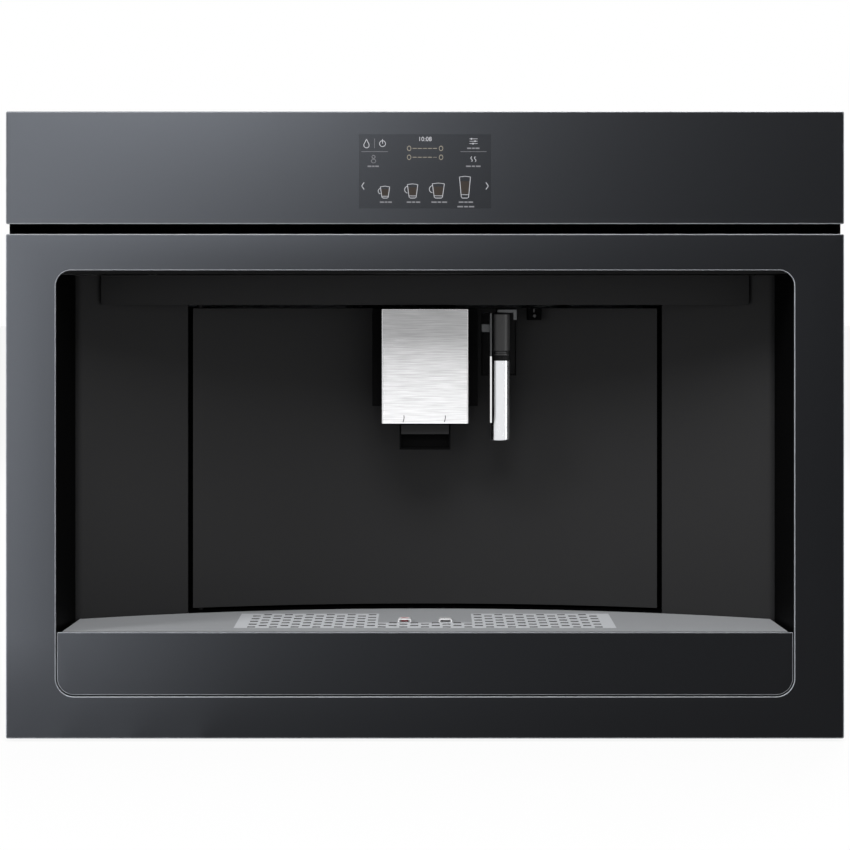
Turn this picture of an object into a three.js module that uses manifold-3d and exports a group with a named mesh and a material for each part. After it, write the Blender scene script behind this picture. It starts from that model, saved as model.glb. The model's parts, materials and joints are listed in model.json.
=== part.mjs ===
// A built-in coffee machine on telescopic runners, as an assembly of separate pieces.
// Millimetres, +Z up. X runs left to right, Y runs from the front to the back.
// The origin is under the middle of the machine, on the cabinet floor.
// Inside the file, y is written as the depth behind the front glass: one group moves it all back.

import * as THREE from "three";
import { mergeVertices } from "three/addons/utils/BufferGeometryUtils.js";
import Module from "manifold-3d";

const wasm = await Module();
wasm.setup();

// ---------------------------------------------------------------- driving dimensions

// Front: a control panel above a frame, both in dark glass
const FRONT_WIDTH = 596;
const FRONT_HEIGHT = 446;
const FLOOR_GAP = 2; // the frame's lower edge above the cabinet floor
const OVERALL_DEPTH = 475; // front glass to the mains inlet's flange
const CONTROL_HEIGHT = 80.2;
const GRIP_GAP = 7; // between the control panel and the frame
const GLASS = 4;
const GLASS_CHAMFER = 0.7;
const CARRIER_DEPTH = 15.7; // plastic frames that carry the glass
const CARRIER_WALL = 3;
const CARRIER_INSET = 2; // from the glass edge to the carrier's edge
const DISPLAY_WIDTH = 94;
const DISPLAY_HEIGHT = 53;
const DISPLAY_BELOW_MIDDLE = 2.6;
const DISPLAY_DEPTH = 6;
const BOARD = 1.6; // circuit boards

// Frame opening, drip tray front and the niche behind them
const SIDE_BAND = 35.5; // glass on either side of the opening
const OPENING_WIDTH = FRONT_WIDTH - 2 * SIDE_BAND;
const OPENING_HEIGHT = 302.8;
const OPENING_SILL = 30; // the frame's band under the opening
const OPENING_TOP_RADIUS = 11;
const OPENING_BOTTOM_RADIUS = 13;
const TRAY_FRONT_HEIGHT = 44.6;
const TRAY_FRONT_GAP = 0.8;
const TRAY_FRONT_DROP = 1; // gap under the tray front
const TRAY_WALL = 2;
const NICHE_DEPTH = 148.5; // front glass to the middle of the door
const NICHE_RADIUS = 520; // the door and the panels beside it follow one arc
const NICHE_SETBACK = 1.5; // the side walls stand this far behind the opening's edge
const NICHE_TAPER = 5.5; // how far they come in towards the back
const NICHE_CORNER = 5; // length of the rounded corner on each face
const NICHE_WALL = 2;
const CEILING_DROP = 2.1;
const VALANCE_LIP = 3.38; // how far the bar over the dispenser passes the door's arc at its ends
const VALANCE_MARGIN = 21.7; // beside it, within the opening's width
const VALANCE_WIDTH = OPENING_WIDTH - 2 * VALANCE_MARGIN;
const VALANCE_HEIGHT = 22.5; // what shows of it under the ceiling
const VALANCE_CORNER = 2.3;

// Service door
const DOOR_MARGIN = 87.3; // beside the door, within the opening's width
const DOOR_WIDTH = OPENING_WIDTH - 2 * DOOR_MARGIN;
const DOOR_SEAM = 3.5;
const DOOR_HEIGHT = 226.4;
const DOOR_OVER_PLATE = 3.6; // door's lower edge above the cup tray
const DOOR_SKIN = 2.5;
const DOOR_RETURN = 9; // depth of the turned edges
const HINGE_INSET = 5;
const HINGE_SETBACK = 5;
const PIVOT_RADIUS = 2.5;
const PIVOT_REACH = 2; // pin length inside its hole

// Dispenser and hot-water nozzle
const COVER_WIDTH = 64.7;
const COVER_HEIGHT = 85;
const COVER_SETBACK = 82;
const COVER_SHEET = 1;
const COVER_BELOW_DOOR_TOP = 0.4;
const COVER_RETURN = 13;
const GUIDE_WIDTH = 78.8;
const GUIDE_HEIGHT = 72.6;
const GUIDE_SETBACK = 98;
const GUIDE_WALL = 6;
const GUIDE_CHANNEL_DEPTH = 30;
const SPOUT_WIDTH = 38;
const SPOUT_HEIGHT = 19.5;
const SPOUT_SETBACK = 91;
const SPOUT_DEPTH = 26;
const SPOUT_LIP = 8.4; // plain band above the recess
const SPOUT_HOLE_RADIUS = 1.9;
const SPOUT_HOLE_SPACING = 18;
const NOZZLE_X = 56.1;
const NOZZLE_SETBACK = 110;
const NOZZLE_RADIUS = 7.65;
const NOZZLE_LENGTH = 63.4;
const NOZZLE_BORE = 1.9;
const CONNECTOR_LENGTH = 30.4;
const CONNECTOR_BELOW_DOOR_TOP = 4;
const NOTCH_WIDTH = 26; // recess in the door behind the nozzle
const NOTCH_HEIGHT = 51.2;
const NOTCH_CENTRE_X = 56.5;
const BRACKET_PLATE = 3;
const BUTTON_SIZE = 6.1;
const BUTTON_TRAVEL = 2;
const SENSOR_X = 83;
const SENSOR_WIDTH = 10.5;
const SENSOR_HEIGHT = 9;
const SENSOR_DEPTH = 14;

// Cup tray
const PLATE = 2;
const PLATE_EDGE_GAP = 5.5; // to the niche walls
const PLATE_BACK_GAP = 1.9; // to the door
const GRATE_MARGIN = 37.2; // within the door's width
const GRATE_HALF_WIDTH = DOOR_WIDTH / 2 - GRATE_MARGIN;
const GRATE_FRONT = 25;
const GRATE_BACK = 113;
const SLOT_WIDTH = 5.8;
const SLOT_DEPTH = 6.2;
const SLOT_PITCH_X = 7.85;
const SLOT_PITCH_Y = 16.7;
const GRATE_END_MARGIN = 9.5; // plain strip at each end
const GRATE_MIDDLE_HALF_WIDTH = 34.5; // plain area behind the two hoods
const GRATE_MIDDLE_FRONT = 57;
const HOOD_SPACING = 30;
const HOOD_WIDTH = 9.7;
const HOOD_HEIGHT = 2.6;
const HOOD_FRONT = 61;
const HOOD_LENGTH = 9;
const HOOD_WALL = 1.1;
const FLOAT_STEM = 3; // thickness of the cross
const FLOAT_LIFT = 3;
const FLOAT_PAD = 19;
const FLOAT_PAD_HEIGHT = 10;

// Casing, base plate and runners
const FRONT_OVERHANG = 20; // the front in front of the cabinet's side walls
const CASING_WIDTH = FRONT_WIDTH - 2 * FRONT_OVERHANG;
const CASING_HEIGHT = 413.5;
const SHEET = 1.5;
const CASING_FLANGE = 10;
const BASE_SHEET = 2;
const BASE_FRONT = 30;
const BASE_BACK_MARGIN = 22;
const RUNNER_LENGTH = 410;
const RUNNER_HEIGHT = 23.5;
const RUNNER_SHEET = 1.2;
const RUNNER_INSET = 22; // casing side to the runner's inner face
const RUNNER_BALL_GAP = 1.2;
const INNER_RUNNER_WIDTH = 5;
const MID_RUNNER_WIDTH = 6.3;
const OUTER_RUNNER_WIDTH = 8.2;
const PAN_CLEARANCE = 2.2; // runners to the pan
const SHELF = 2.5;
const SHELF_DEPTH = 158; // depth of the deck behind the door's arc

// Brewing unit, behind the door on the right
const BREW_CENTRE_X = 50;
const BREW_FRAME_WIDTH = 120;
const BREW_FRAME_HEIGHT = 220;
const BREW_FRAME_DEPTH = 88;
const BREW_ARM = 10;
const BREW_BACK_PLATE = 8;
const CHAMBER_RADIUS = 30;
const CHAMBER_BORE = 25;
const CHAMBER_HEIGHT = 58;
const CHAMBER_FLOOR = 8;
const CHAMBER_LIFT = 30;
const CHAMBER_REST = 60; // over the frame's lower arm
const CHAMBER_OFFSET = -5; // chamber axis from the frame's middle
const PISTON_RADIUS = 24;
const PISTON_ENTRY = 8; // how far the raised chamber passes the piston's face
const SCREW_OFFSET = 45; // lead screw axis from the frame's middle
const SCREW_RADIUS = 5;
const JOURNAL_RADIUS = 3;
const INFUSER_MOTOR_RADIUS = 18;
const INFUSER_MOTOR_HEIGHT = 38;

// Grinder and bean hopper
const GRINDER_X = -20;
const GRINDER_BEHIND_FRAME = 61; // grinder axis behind the brew frame
const GRINDER_RADIUS = 46;
const GRINDER_BORE = 40;
const GRINDER_HEIGHT = 74;
const GRINDER_FLOOR = 6;
const GRINDER_MOTOR_RADIUS = 34;
const GRINDER_MOTOR_HEIGHT = 105;
const GRINDER_MOTOR_LEG_HEIGHT = 90; // pan to the motor's underside
const STAND_HALF = 22; // half the depth of the motor's legs
const STAND_SHEET = 4;
const STAND_FOOT = 14;
const STAND_GRIP = 10; // how far the legs reach up the motor
const BURR_RADIUS = 30;
const BURR_HEIGHT = 22;
const UPPER_BURR_HEIGHT = 18;
const BURR_SHAFT_RADIUS = 4;
const SHAFT_GRIP = 12; // shaft inside the lower burr
const DIAL_HEIGHT = 12;
const HOPPER_WIDTH = 240;
const HOPPER_BACK_MARGIN = 24.5; // to the casing's back edge
const HOPPER_FRONT_MARGIN = 230.5; // depth that the front, the niche and the brewing unit take
const HOPPER_DEPTH = OVERALL_DEPTH - HOPPER_FRONT_MARGIN - HOPPER_BACK_MARGIN;
const HOPPER_HEIGHT = 110;
const HOPPER_STRAIGHT = 60;
const HOPPER_WALL = 2;
const HOPPER_NECK_RADIUS = 24;
const HOPPER_RIM = 6;
const CHUTE_X = 24; // the grounds' chute, in the back plate of the brewing unit
const CHUTE_HALF = 12;
const CHUTE_HEIGHT = 26;
const CHUTE_WALL = 2;
const CHUTE_MARGIN = 4; // over the chamber's mouth
const CHUTE_WINDOW_REACH = 48; // top of the window in the back plate, over the grinder's floor
const LID = 3;
const LID_MARGIN = 8; // hopper's side to the edge of the opening over it
const LID_OVERLAP = 4; // lid past that edge
const LID_BARREL_RADIUS = 3;
const LID_BARREL_HALF = 40;
const LID_EAR = 6;

// Water, waste and electrics
const GROUNDS_WIDTH = 120;
const GROUNDS_DEPTH = 115;
const GROUNDS_HEIGHT = 110;
const GROUNDS_X = -90;
const GROUNDS_WALL = 2;
const TANK_WIDTH = 91;
const TANK_DEPTH = 190;
const TANK_HEIGHT = 160;
const TANK_WALL = 2.5;
const TANK_GRIP_WALL = 11.5;
const TANK_GRIP_LENGTH = 48;
const TANK_GRIP_HEIGHT = 22;
const TANK_GRIP_BELOW_RIM = 40; // to its middle
const TANK_BACK_MARGIN = 42;
const BOILER_RADIUS = 36;
const BOILER_SHOULDER = 8; // width of the rounded shoulder and of the foot ring's step
const BOILER_FOOT = 12;
const BOILER_DOME = 10;
const BOILER_FITTING_RADIUS = 6;
const BOILER_FITTING = 14;
const COFFEE_BOILER_HEIGHT = 130;
const STEAM_BOILER_HEIGHT = 165;
const BOILER_GAP = 18;
const BOILER_SIDE_GAP = 20; // boiler to the casing side
const PUMP_RADIUS = 22;
const PUMP_FRONT_MARGIN = 400; // what the rest of the depth takes
const PUMP_LENGTH = OVERALL_DEPTH - PUMP_FRONT_MARGIN;
const PUMP_STUB_RADIUS = 5;
const PUMP_STUB = 8;
const PUMP_CRADLE = 10; // rubber under the pump's body
const POWER_BOARD_HEIGHT = 185;
const POWER_BOARD_LENGTH = 200;
const POWER_BOARD_OVER_TANK = 26;
const POWER_BOARD_STANDOFF = 12; // its height, and its distance from the board's edges
const STANDOFF_RADIUS = 3.5;
// What stands on the power board: along and up it from its lower front corner, length, height, reach
const BOARD_COMPONENTS = {
  transformer: [20, 20, 60, 45, 26],
  relays: [100, 20, 30, 60, 18],
  heatSink: [20, 95, 110, 25, 14],
  capacitors: [145, 110, 30, 30, 22],
};
const FAN_RADIUS = 36;
const FAN_SIDE_MARGIN = 71.5; // casing side to the fan's axis
const FAN_HEIGHT = 345;
const FAN_WIDTH = 16;
const FAN_HUB_RADIUS = 12;
const FAN_PIN_RADIUS = 3;
const AIR_SLOT = 6; // height of the slots in the back panel
const AIR_SLOT_PITCH = 10;
const LOWER_AIR_SLOTS = [-60, 20]; // their ends, left to right
const INLET_X = 88;
const INLET_WIDTH = 54.4;
const INLET_HEIGHT = 29.4;
const INLET_ABOVE_PAN = 35;
const INLET_DEPTH = 28;
const INLET_FLANGE = 1.7;
const INLET_LIP = 4;
const SOCKET_WIDTH = 24;
const SOCKET_HEIGHT = 20;
const PIN_PITCH = 6;
const SWITCH = { x: INLET_X + 14, half: 9, depth: 14 };

// Fits
const SEAT = 0.3; // between pieces that touch
const RUNNING = 0.3; // radial clearance of turning pins

// ---------------------------------------------------------------- worked-out levels

const FRONT_TOP = FLOOR_GAP + FRONT_HEIGHT;
const CONTROL_BOTTOM = FRONT_TOP - CONTROL_HEIGHT;
const FRAME_TOP = CONTROL_BOTTOM - GRIP_GAP;
const CARRIER_FRONT = GLASS + SEAT;
const CARRIER_BACK = CARRIER_FRONT + CARRIER_DEPTH;
const BULKHEAD_FRONT = CARRIER_BACK + SEAT;
const BULKHEAD_BACK = BULKHEAD_FRONT + SHEET;
const CASING_FRONT = BULKHEAD_BACK + SEAT;
const BACK_OUTER = OVERALL_DEPTH - INLET_FLANGE - SEAT;
const BACK_INNER = BACK_OUTER - SHEET;
const CASING_BACK = BACK_INNER - SEAT;

const RUNNER_BOTTOM = BASE_SHEET + SEAT;
const RUNNER_TOP = RUNNER_BOTTOM + RUNNER_HEIGHT;
const PAN_BOTTOM = RUNNER_TOP + PAN_CLEARANCE;
const PAN_TOP = PAN_BOTTOM + SHEET;
const CASING_TOP = PAN_BOTTOM + CASING_HEIGHT;
const TOP_PANEL_BOTTOM = CASING_TOP - SHEET;
const CASING_HALF = CASING_WIDTH / 2;
const CASING_INNER_HALF = CASING_HALF - SHEET;
const RUNNER_HALF = CASING_HALF - RUNNER_INSET;
const FAN_X = FAN_SIDE_MARGIN - CASING_INNER_HALF;

const SHELF_BOTTOM = PAN_TOP + SEAT;
const SHELF_TOP = SHELF_BOTTOM + SHELF;
const OPENING_BOTTOM = FLOOR_GAP + OPENING_SILL;
const OPENING_TOP = OPENING_BOTTOM + OPENING_HEIGHT;
const TRAY_FRONT_BOTTOM = OPENING_BOTTOM + TRAY_FRONT_DROP;
const PLATE_TOP = TRAY_FRONT_BOTTOM + TRAY_FRONT_HEIGHT;
const PLATE_BOTTOM = PLATE_TOP - PLATE;
const TUB_BOTTOM = SHELF_TOP + SEAT;
const TUB_FLOOR = TUB_BOTTOM + TRAY_WALL;
const TUB_RIM = PLATE_BOTTOM - SEAT;

const NICHE_ARC_CENTRE = NICHE_DEPTH - NICHE_RADIUS;
const NICHE_FRONT_HALF = OPENING_WIDTH / 2 + NICHE_SETBACK;
const NICHE_BACK_HALF = NICHE_FRONT_HALF - NICHE_TAPER;
const CEILING_BOTTOM = OPENING_TOP - CEILING_DROP;
const CEILING_TOP = CEILING_BOTTOM + NICHE_WALL;
const CARRIER_OPENING_HALF = NICHE_FRONT_HALF + NICHE_WALL + SEAT;
const VALANCE_BOTTOM = CEILING_BOTTOM - VALANCE_HEIGHT;
const VALANCE_SETBACK = arcDepth(VALANCE_WIDTH / 2, NICHE_RADIUS) - VALANCE_LIP;
const DOOR_HALF = DOOR_WIDTH / 2;
const DOOR_BOTTOM = PLATE_TOP + DOOR_OVER_PLATE;
const DOOR_TOP = DOOR_BOTTOM + DOOR_HEIGHT;
const SIDE_PANEL_START = DOOR_HALF + DOOR_SEAM;
const DOOR_BACK_RADIUS = NICHE_RADIUS + DOOR_RETURN;
const HINGE_X = -DOOR_HALF + HINGE_INSET;
const HINGE_Y = arcDepth(HINGE_X, NICHE_RADIUS) + HINGE_SETBACK;
const HINGE_SHELF_RADIUS = DOOR_BACK_RADIUS + HINGE_SETBACK;

const DECK_TOP = DOOR_BOTTOM - DOOR_OVER_PLATE / 2;
const DECK_BOTTOM = DECK_TOP - SHELF;
const DECK_BACK = NICHE_DEPTH + SHELF_DEPTH;
const DECK_SEAT = DECK_TOP + SEAT;
const INSIDE_FRONT = NICHE_DEPTH + DOOR_RETURN + 3 * HINGE_SETBACK; // clear of the door and valance

const BREW_BACK = INSIDE_FRONT + 24 + BREW_FRAME_DEPTH;
const BREW_AXIS_Y = BREW_BACK - BREW_BACK_PLATE - CHAMBER_RADIUS - 11;
const BREW_LEFT = BREW_CENTRE_X - BREW_FRAME_WIDTH / 2;
const BREW_RIGHT = BREW_CENTRE_X + BREW_FRAME_WIDTH / 2;
const BREW_BASE_TOP = DECK_SEAT + BREW_ARM;
const BREW_TOP = DECK_SEAT + BREW_FRAME_HEIGHT;
const BREW_ARM_BOTTOM = BREW_TOP - BREW_ARM;
const CHAMBER_X = BREW_CENTRE_X + CHAMBER_OFFSET;
const CHAMBER_BOTTOM = BREW_BASE_TOP + CHAMBER_REST;
const CHAMBER_MOUTH = CHAMBER_BOTTOM + CHAMBER_HEIGHT;
const PISTON_FACE = CHAMBER_MOUTH + CHAMBER_LIFT - PISTON_ENTRY;
const SCREW_X = BREW_CENTRE_X + SCREW_OFFSET;

const GRINDER_Y = BREW_BACK + GRINDER_BEHIND_FRAME;
const GRINDER_MOTOR_BOTTOM = PAN_TOP + SEAT + GRINDER_MOTOR_LEG_HEIGHT;
const GRINDER_BOTTOM = GRINDER_MOTOR_BOTTOM + GRINDER_MOTOR_HEIGHT + SEAT;
const GRINDER_TOP = GRINDER_BOTTOM + GRINDER_HEIGHT;
const BURR_BOTTOM = GRINDER_BOTTOM + GRINDER_FLOOR + 8;
const UPPER_BURR_BOTTOM = BURR_BOTTOM + BURR_HEIGHT + 1;
const DIAL_BOTTOM = GRINDER_TOP + SEAT;
const HOPPER_TOP = TOP_PANEL_BOTTOM - SEAT;
const HOPPER_BOTTOM = HOPPER_TOP - HOPPER_HEIGHT;
const LID_BOTTOM = CASING_TOP + SEAT;

// ---------------------------------------------------------------- geometry helpers

/** Depth at x of an arc that shares the door's centre. */
function arcDepth(x, radius) {
  return NICHE_DEPTH - NICHE_RADIUS + Math.sqrt(radius * radius - x * x);
}

/** A closed three.js geometry as a solid that can be joined and cut. */
function solid(geometry) {
  geometry.deleteAttribute("normal");
  geometry.deleteAttribute("uv");
  const merged = mergeVertices(geometry, 1e-4);
  return new wasm.Manifold(
    new wasm.Mesh({
      numProp: 3,
      vertProperties: merged.attributes.position.array,
      triVerts: new Uint32Array(merged.index.array),
    }),
  );
}

/** A [low, high] pair made longer by the same amount at both ends. */
const grown = ([low, high], by) => [low - by, high + by];

/** The [low, high] pair that reaches half to either side of a middle. */
const around = (middle, half) => [middle - half, middle + half];

const join = (first, ...others) => others.reduce((sum, other) => sum.add(other), first);
const cut = (first, ...others) => others.reduce((rest, other) => rest.subtract(other), first);

/** A box between two limits on each axis. */
function block([x0, x1], [y0, y1], [z0, z1]) {
  const box = new THREE.BoxGeometry(x1 - x0, y1 - y0, z1 - z0);
  return solid(box.translate((x0 + x1) / 2, (y0 + y1) / 2, (z0 + z1) / 2));
}

/** A box whose upper rectangle differs from its lower one, such as a funnel. */
function taperedBlock(lower, upper, z0, z1) {
  const box = new THREE.BoxGeometry(1, 1, 1);
  const corner = box.attributes.position;
  for (let i = 0; i < corner.count; i++) {
    const rectangle = corner.getZ(i) > 0 ? upper : lower;
    const x = rectangle[corner.getX(i) > 0 ? 1 : 0];
    const y = rectangle[corner.getY(i) > 0 ? 3 : 2];
    corner.setXYZ(i, x, y, corner.getZ(i) > 0 ? z1 : z0);
  }
  return solid(box);
}

function extruded(points, length) {
  const shape = new THREE.Shape(points.map(([u, v]) => new THREE.Vector2(u, v)));
  return new THREE.ExtrudeGeometry(shape, { depth: length, bevelEnabled: false });
}

/** An outline in plan, (x, y), between two heights. */
const prismZ = (points, [z0, z1]) => solid(extruded(points, z1 - z0).translate(0, 0, z0));

/** An outline seen from the front, (x, z), between two depths. */
const prismY = (points, [y0, y1]) =>
  solid(extruded(points, y1 - y0).rotateX(Math.PI / 2).translate(0, y1, 0));

/** An outline seen from the side, (y, z), between two x positions. */
function prismX(points, [x0, x1]) {
  const turn = new THREE.Matrix4().set(0, 0, 1, x0, 1, 0, 0, 0, 0, 1, 0, 0, 0, 0, 0, 1);
  return solid(extruded(points, x1 - x0).applyMatrix4(turn));
}

const rod = (radius, length, sides) => new THREE.CylinderGeometry(radius, radius, length, sides);
const rodZ = (x, y, radius, [z0, z1], sides = 24) =>
  solid(rod(radius, z1 - z0, sides).rotateX(Math.PI / 2).translate(x, y, (z0 + z1) / 2));
const rodY = (x, z, radius, [y0, y1], sides = 24) =>
  solid(rod(radius, y1 - y0, sides).translate(x, (y0 + y1) / 2, z));
const rodX = (y, z, radius, [x0, x1], sides = 16) =>
  solid(rod(radius, x1 - x0, sides).rotateZ(Math.PI / 2).translate((x0 + x1) / 2, y, z));

/** A profile of [radius, height] turned about a vertical axis. */
function turnedZ(x, y, profile, sides = 24) {
  const points = profile.map(([radius, z]) => new THREE.Vector2(radius, z));
  return solid(new THREE.LatheGeometry(points, sides).rotateX(Math.PI / 2).translate(x, y, 0));
}

function arcPoints(u, v, radius, from, to, steps) {
  return Array.from({ length: steps + 1 }, (_, i) => {
    const angle = from + ((to - from) * i) / steps;
    return [u + radius * Math.cos(angle), v + radius * Math.sin(angle)];
  });
}

/** A rectangle about x = 0 with its own radius at the lower and upper corners. */
function roundedRectangle(half, bottom, top, lowerRadius, upperRadius, steps = 6) {
  const corner = (x, z, radius, from) =>
    radius > 0 ? arcPoints(x, z, radius, from, from + Math.PI / 2, steps) : [[x, z]];
  return [
    ...corner(half - lowerRadius, bottom + lowerRadius, lowerRadius, -Math.PI / 2),
    ...corner(half - upperRadius, top - upperRadius, upperRadius, 0),
    ...corner(upperRadius - half, top - upperRadius, upperRadius, Math.PI / 2),
    ...corner(lowerRadius - half, bottom + lowerRadius, lowerRadius, Math.PI),
  ];
}

const rectangle = (half, bottom, top) => roundedRectangle(half, bottom, top, 0, 0);
const mirrored = (points) => points.map(([x, y]) => [-x, y]).reverse();
const mirrorX = (body) => body.mirror([1, 0, 0]);

/** A flat glass panel, chamfered all round, with an optional opening. */
function glassPanel(outline, opening) {
  const shape = new THREE.Shape(outline.map(([x, z]) => new THREE.Vector2(x, z)));
  if (opening) shape.holes.push(new THREE.Path(opening.map(([x, z]) => new THREE.Vector2(x, z))));
  const geometry = new THREE.ExtrudeGeometry(shape, {
    depth: GLASS - 2 * GLASS_CHAMFER,
    bevelThickness: GLASS_CHAMFER,
    bevelSize: GLASS_CHAMFER,
    bevelOffset: -GLASS_CHAMFER,
    bevelSegments: 1,
  });
  return solid(geometry.rotateX(Math.PI / 2).translate(0, GLASS - GLASS_CHAMFER, 0));
}

/** The door's arc in plan, from x0 to x1. */
function arcLine(radius, x0, x1, steps) {
  const angle = (x) => Math.acos(x / radius);
  return arcPoints(0, NICHE_ARC_CENTRE, radius, angle(x0), angle(x1), steps);
}

/** The niche wall in plan on the right, pushed out by offset, from the front to x = end. */
function nicheSide(offset, end, front = CARRIER_FRONT) {
  const radius = NICHE_RADIUS + offset;
  const frontX = NICHE_FRONT_HALF + offset;
  const backX = NICHE_BACK_HALF + offset;
  const cornerY = arcDepth(backX, radius);
  const start = new THREE.Vector2(backX + (NICHE_TAPER * NICHE_CORNER) / cornerY, cornerY - NICHE_CORNER);
  const endX = backX - NICHE_CORNER;
  const corner = new THREE.QuadraticBezierCurve(
    start,
    new THREE.Vector2(backX, cornerY),
    new THREE.Vector2(endX, arcDepth(endX, radius)),
  );
  const bend = corner.getPoints(5).map((p) => [p.x, p.y]);
  return [[frontX, front], ...bend, ...arcLine(radius, endX, end, 6).slice(1)];
}

// ---------------------------------------------------------------- finishes and pieces

const FINISHES = {
  darkGlass: { color: 0x202226, roughness: 0.25, metalness: 0.1 },
  display: { color: 0x101014, roughness: 0.2, metalness: 0 },
  blackPlastic: { color: 0x17181a, roughness: 0.55, metalness: 0 },
  matteBlack: { color: 0x0c0c0d, roughness: 0.7, metalness: 0 },
  doorBlack: { color: 0x222224, roughness: 0.5, metalness: 0.1 },
  trayPlate: { color: 0x8a8c90, roughness: 0.4, metalness: 0.7 },
  brushedSteel: { color: 0xcfcfd1, roughness: 0.35, metalness: 1 },
  chrome: { color: 0xe8e8ea, roughness: 0.08, metalness: 1 },
  zincSheet: { color: 0x9da1a5, roughness: 0.45, metalness: 0.9 },
  redPlastic: { color: 0xb3202c, roughness: 0.4, metalness: 0 },
  greyPlastic: { color: 0x6c6e72, roughness: 0.5, metalness: 0 },
  clearPlastic: { color: 0xb8c4cc, roughness: 0.15, metalness: 0 },
  brass: { color: 0xb59a55, roughness: 0.35, metalness: 1 },
  castMetal: { color: 0x75787c, roughness: 0.5, metalness: 0.8 },
  boardGreen: { color: 0x1f5a3a, roughness: 0.6, metalness: 0 },
};

/** A named mesh from a solid. */
function piece(name, body, finish) {
  const mesh = body.getMesh();
  const geometry = new THREE.BufferGeometry();
  const positions = new Float32Array(mesh.vertProperties);
  geometry.setAttribute("position", new THREE.BufferAttribute(positions, 3));
  geometry.setIndex(new THREE.BufferAttribute(new Uint32Array(mesh.triVerts), 1));
  geometry.computeVertexNormals();
  const made = new THREE.Mesh(geometry, new THREE.MeshStandardMaterial(FINISHES[finish]));
  made.name = name;
  return made;
}

/** The same piece on the left and the right, from the solid of the right one. */
const pair = (name, body, finish) => [
  piece(`${name}_left`, mirrorX(body), finish),
  piece(`${name}_right`, body, finish),
];

function group(...pieces) {
  const made = new THREE.Group();
  made.add(...pieces);
  return made;
}

// ---------------------------------------------------------------- base plate and runners

/** A C-section runner: a web at webX and two flanges that reach to tipX. */
function runnerSection(webX, tipX, bottom, top) {
  const sheet = RUNNER_SHEET;
  const inward = tipX < webX ? -sheet : sheet;
  return [
    [webX, bottom],
    [tipX, bottom],
    [tipX, bottom + sheet],
    [webX + inward, bottom + sheet],
    [webX + inward, top - sheet],
    [tipX, top - sheet],
    [tipX, top],
    [webX, top],
  ];
}

function baseAndRunners() {
  const runnerSpan = [BASE_FRONT + 4, BASE_FRONT + 4 + RUNNER_LENGTH];
  const innerX = RUNNER_HALF + SEAT;
  const innerTip = innerX + INNER_RUNNER_WIDTH;
  const midTip = innerX + RUNNER_SHEET + SEAT + 0.1;
  const midWeb = midTip + MID_RUNNER_WIDTH;
  const outerTip = midTip + RUNNER_BALL_GAP;
  const outerWeb = outerTip + OUTER_RUNNER_WIDTH;
  const midBottom = RUNNER_BOTTOM + RUNNER_SHEET + RUNNER_BALL_GAP;
  const midTop = RUNNER_TOP - RUNNER_SHEET - RUNNER_BALL_GAP;
  const innerBottom = midBottom + RUNNER_SHEET + RUNNER_BALL_GAP;
  const innerTop = midTop - RUNNER_SHEET - RUNNER_BALL_GAP;
  const inner = prismY(runnerSection(innerX, innerTip, innerBottom, innerTop), runnerSpan);
  const mid = prismY(runnerSection(midWeb, midTip, midBottom, midTop), runnerSpan);
  const outer = prismY(runnerSection(outerWeb, outerTip, RUNNER_BOTTOM, RUNNER_TOP), runnerSpan);

  const flangeInner = outerWeb + SEAT;
  const flangeOuter = flangeInner + BASE_SHEET;
  const section = [
    [-flangeOuter, 0],
    [flangeOuter, 0],
    [flangeOuter, RUNNER_TOP],
    [flangeInner, RUNNER_TOP],
    [flangeInner, BASE_SHEET],
    [-flangeInner, BASE_SHEET],
    [-flangeInner, RUNNER_TOP],
    [-flangeOuter, RUNNER_TOP],
  ];
  const plate = prismY(section, [BASE_FRONT, OVERALL_DEPTH - BASE_BACK_MARGIN]);
  return group(
    piece("base_plate", plate, "zincSheet"),
    ...pair("outer_runner", outer, "zincSheet"),
    ...pair("mid_runner", mid, "zincSheet"),
    ...pair("inner_runner", inner, "zincSheet"),
  );
}

// ---------------------------------------------------------------- casing

function chassisPan() {
  const half = CASING_INNER_HALF - SEAT;
  const flangeBottom = RUNNER_BOTTOM + 2 * (RUNNER_SHEET + RUNNER_BALL_GAP);
  const y = [CASING_FRONT, CASING_BACK];
  const flange = block([RUNNER_HALF - SHEET, RUNNER_HALF], y, [flangeBottom, PAN_TOP]);
  const floor = block([-half, half], y, [PAN_BOTTOM, PAN_TOP]);
  return join(floor, flange, mirrorX(flange));
}

/** The right side: a sheet with flanges on the pan and under the top panel. */
function casingSide() {
  const inner = CASING_INNER_HALF - CASING_FLANGE;
  const lower = PAN_TOP + SEAT;
  const upper = TOP_PANEL_BOTTOM - SEAT;
  const section = [
    [CASING_HALF, PAN_BOTTOM],
    [CASING_HALF, upper],
    [inner, upper],
    [inner, upper - SHEET],
    [CASING_INNER_HALF, upper - SHEET],
    [CASING_INNER_HALF, lower + SHEET],
    [inner, lower + SHEET],
    [inner, lower],
    [CASING_INNER_HALF, lower],
    [CASING_INNER_HALF, PAN_BOTTOM],
  ];
  return prismY(section, [CASING_FRONT, CASING_BACK]);
}

/** Where the water tank stands: [x], [y] and [z] limits. */
const TANK = {
  x: [CASING_HALF - SEAT - TANK_WIDTH, CASING_HALF - SEAT],
  y: [CASING_BACK - TANK_BACK_MARGIN - TANK_DEPTH, CASING_BACK - TANK_BACK_MARGIN],
  z: [PAN_TOP + SEAT, PAN_TOP + SEAT + TANK_HEIGHT],
};

function sideWithTankOpening() {
  const opening = block(
    [CASING_INNER_HALF - CASING_FLANGE - 1, CASING_HALF + 1],
    [TANK.y[0] - SEAT, TANK.y[1] + SEAT],
    [PAN_BOTTOM - 1, TANK.z[1] + SEAT],
  );
  return cut(casingSide(), opening);
}

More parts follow.
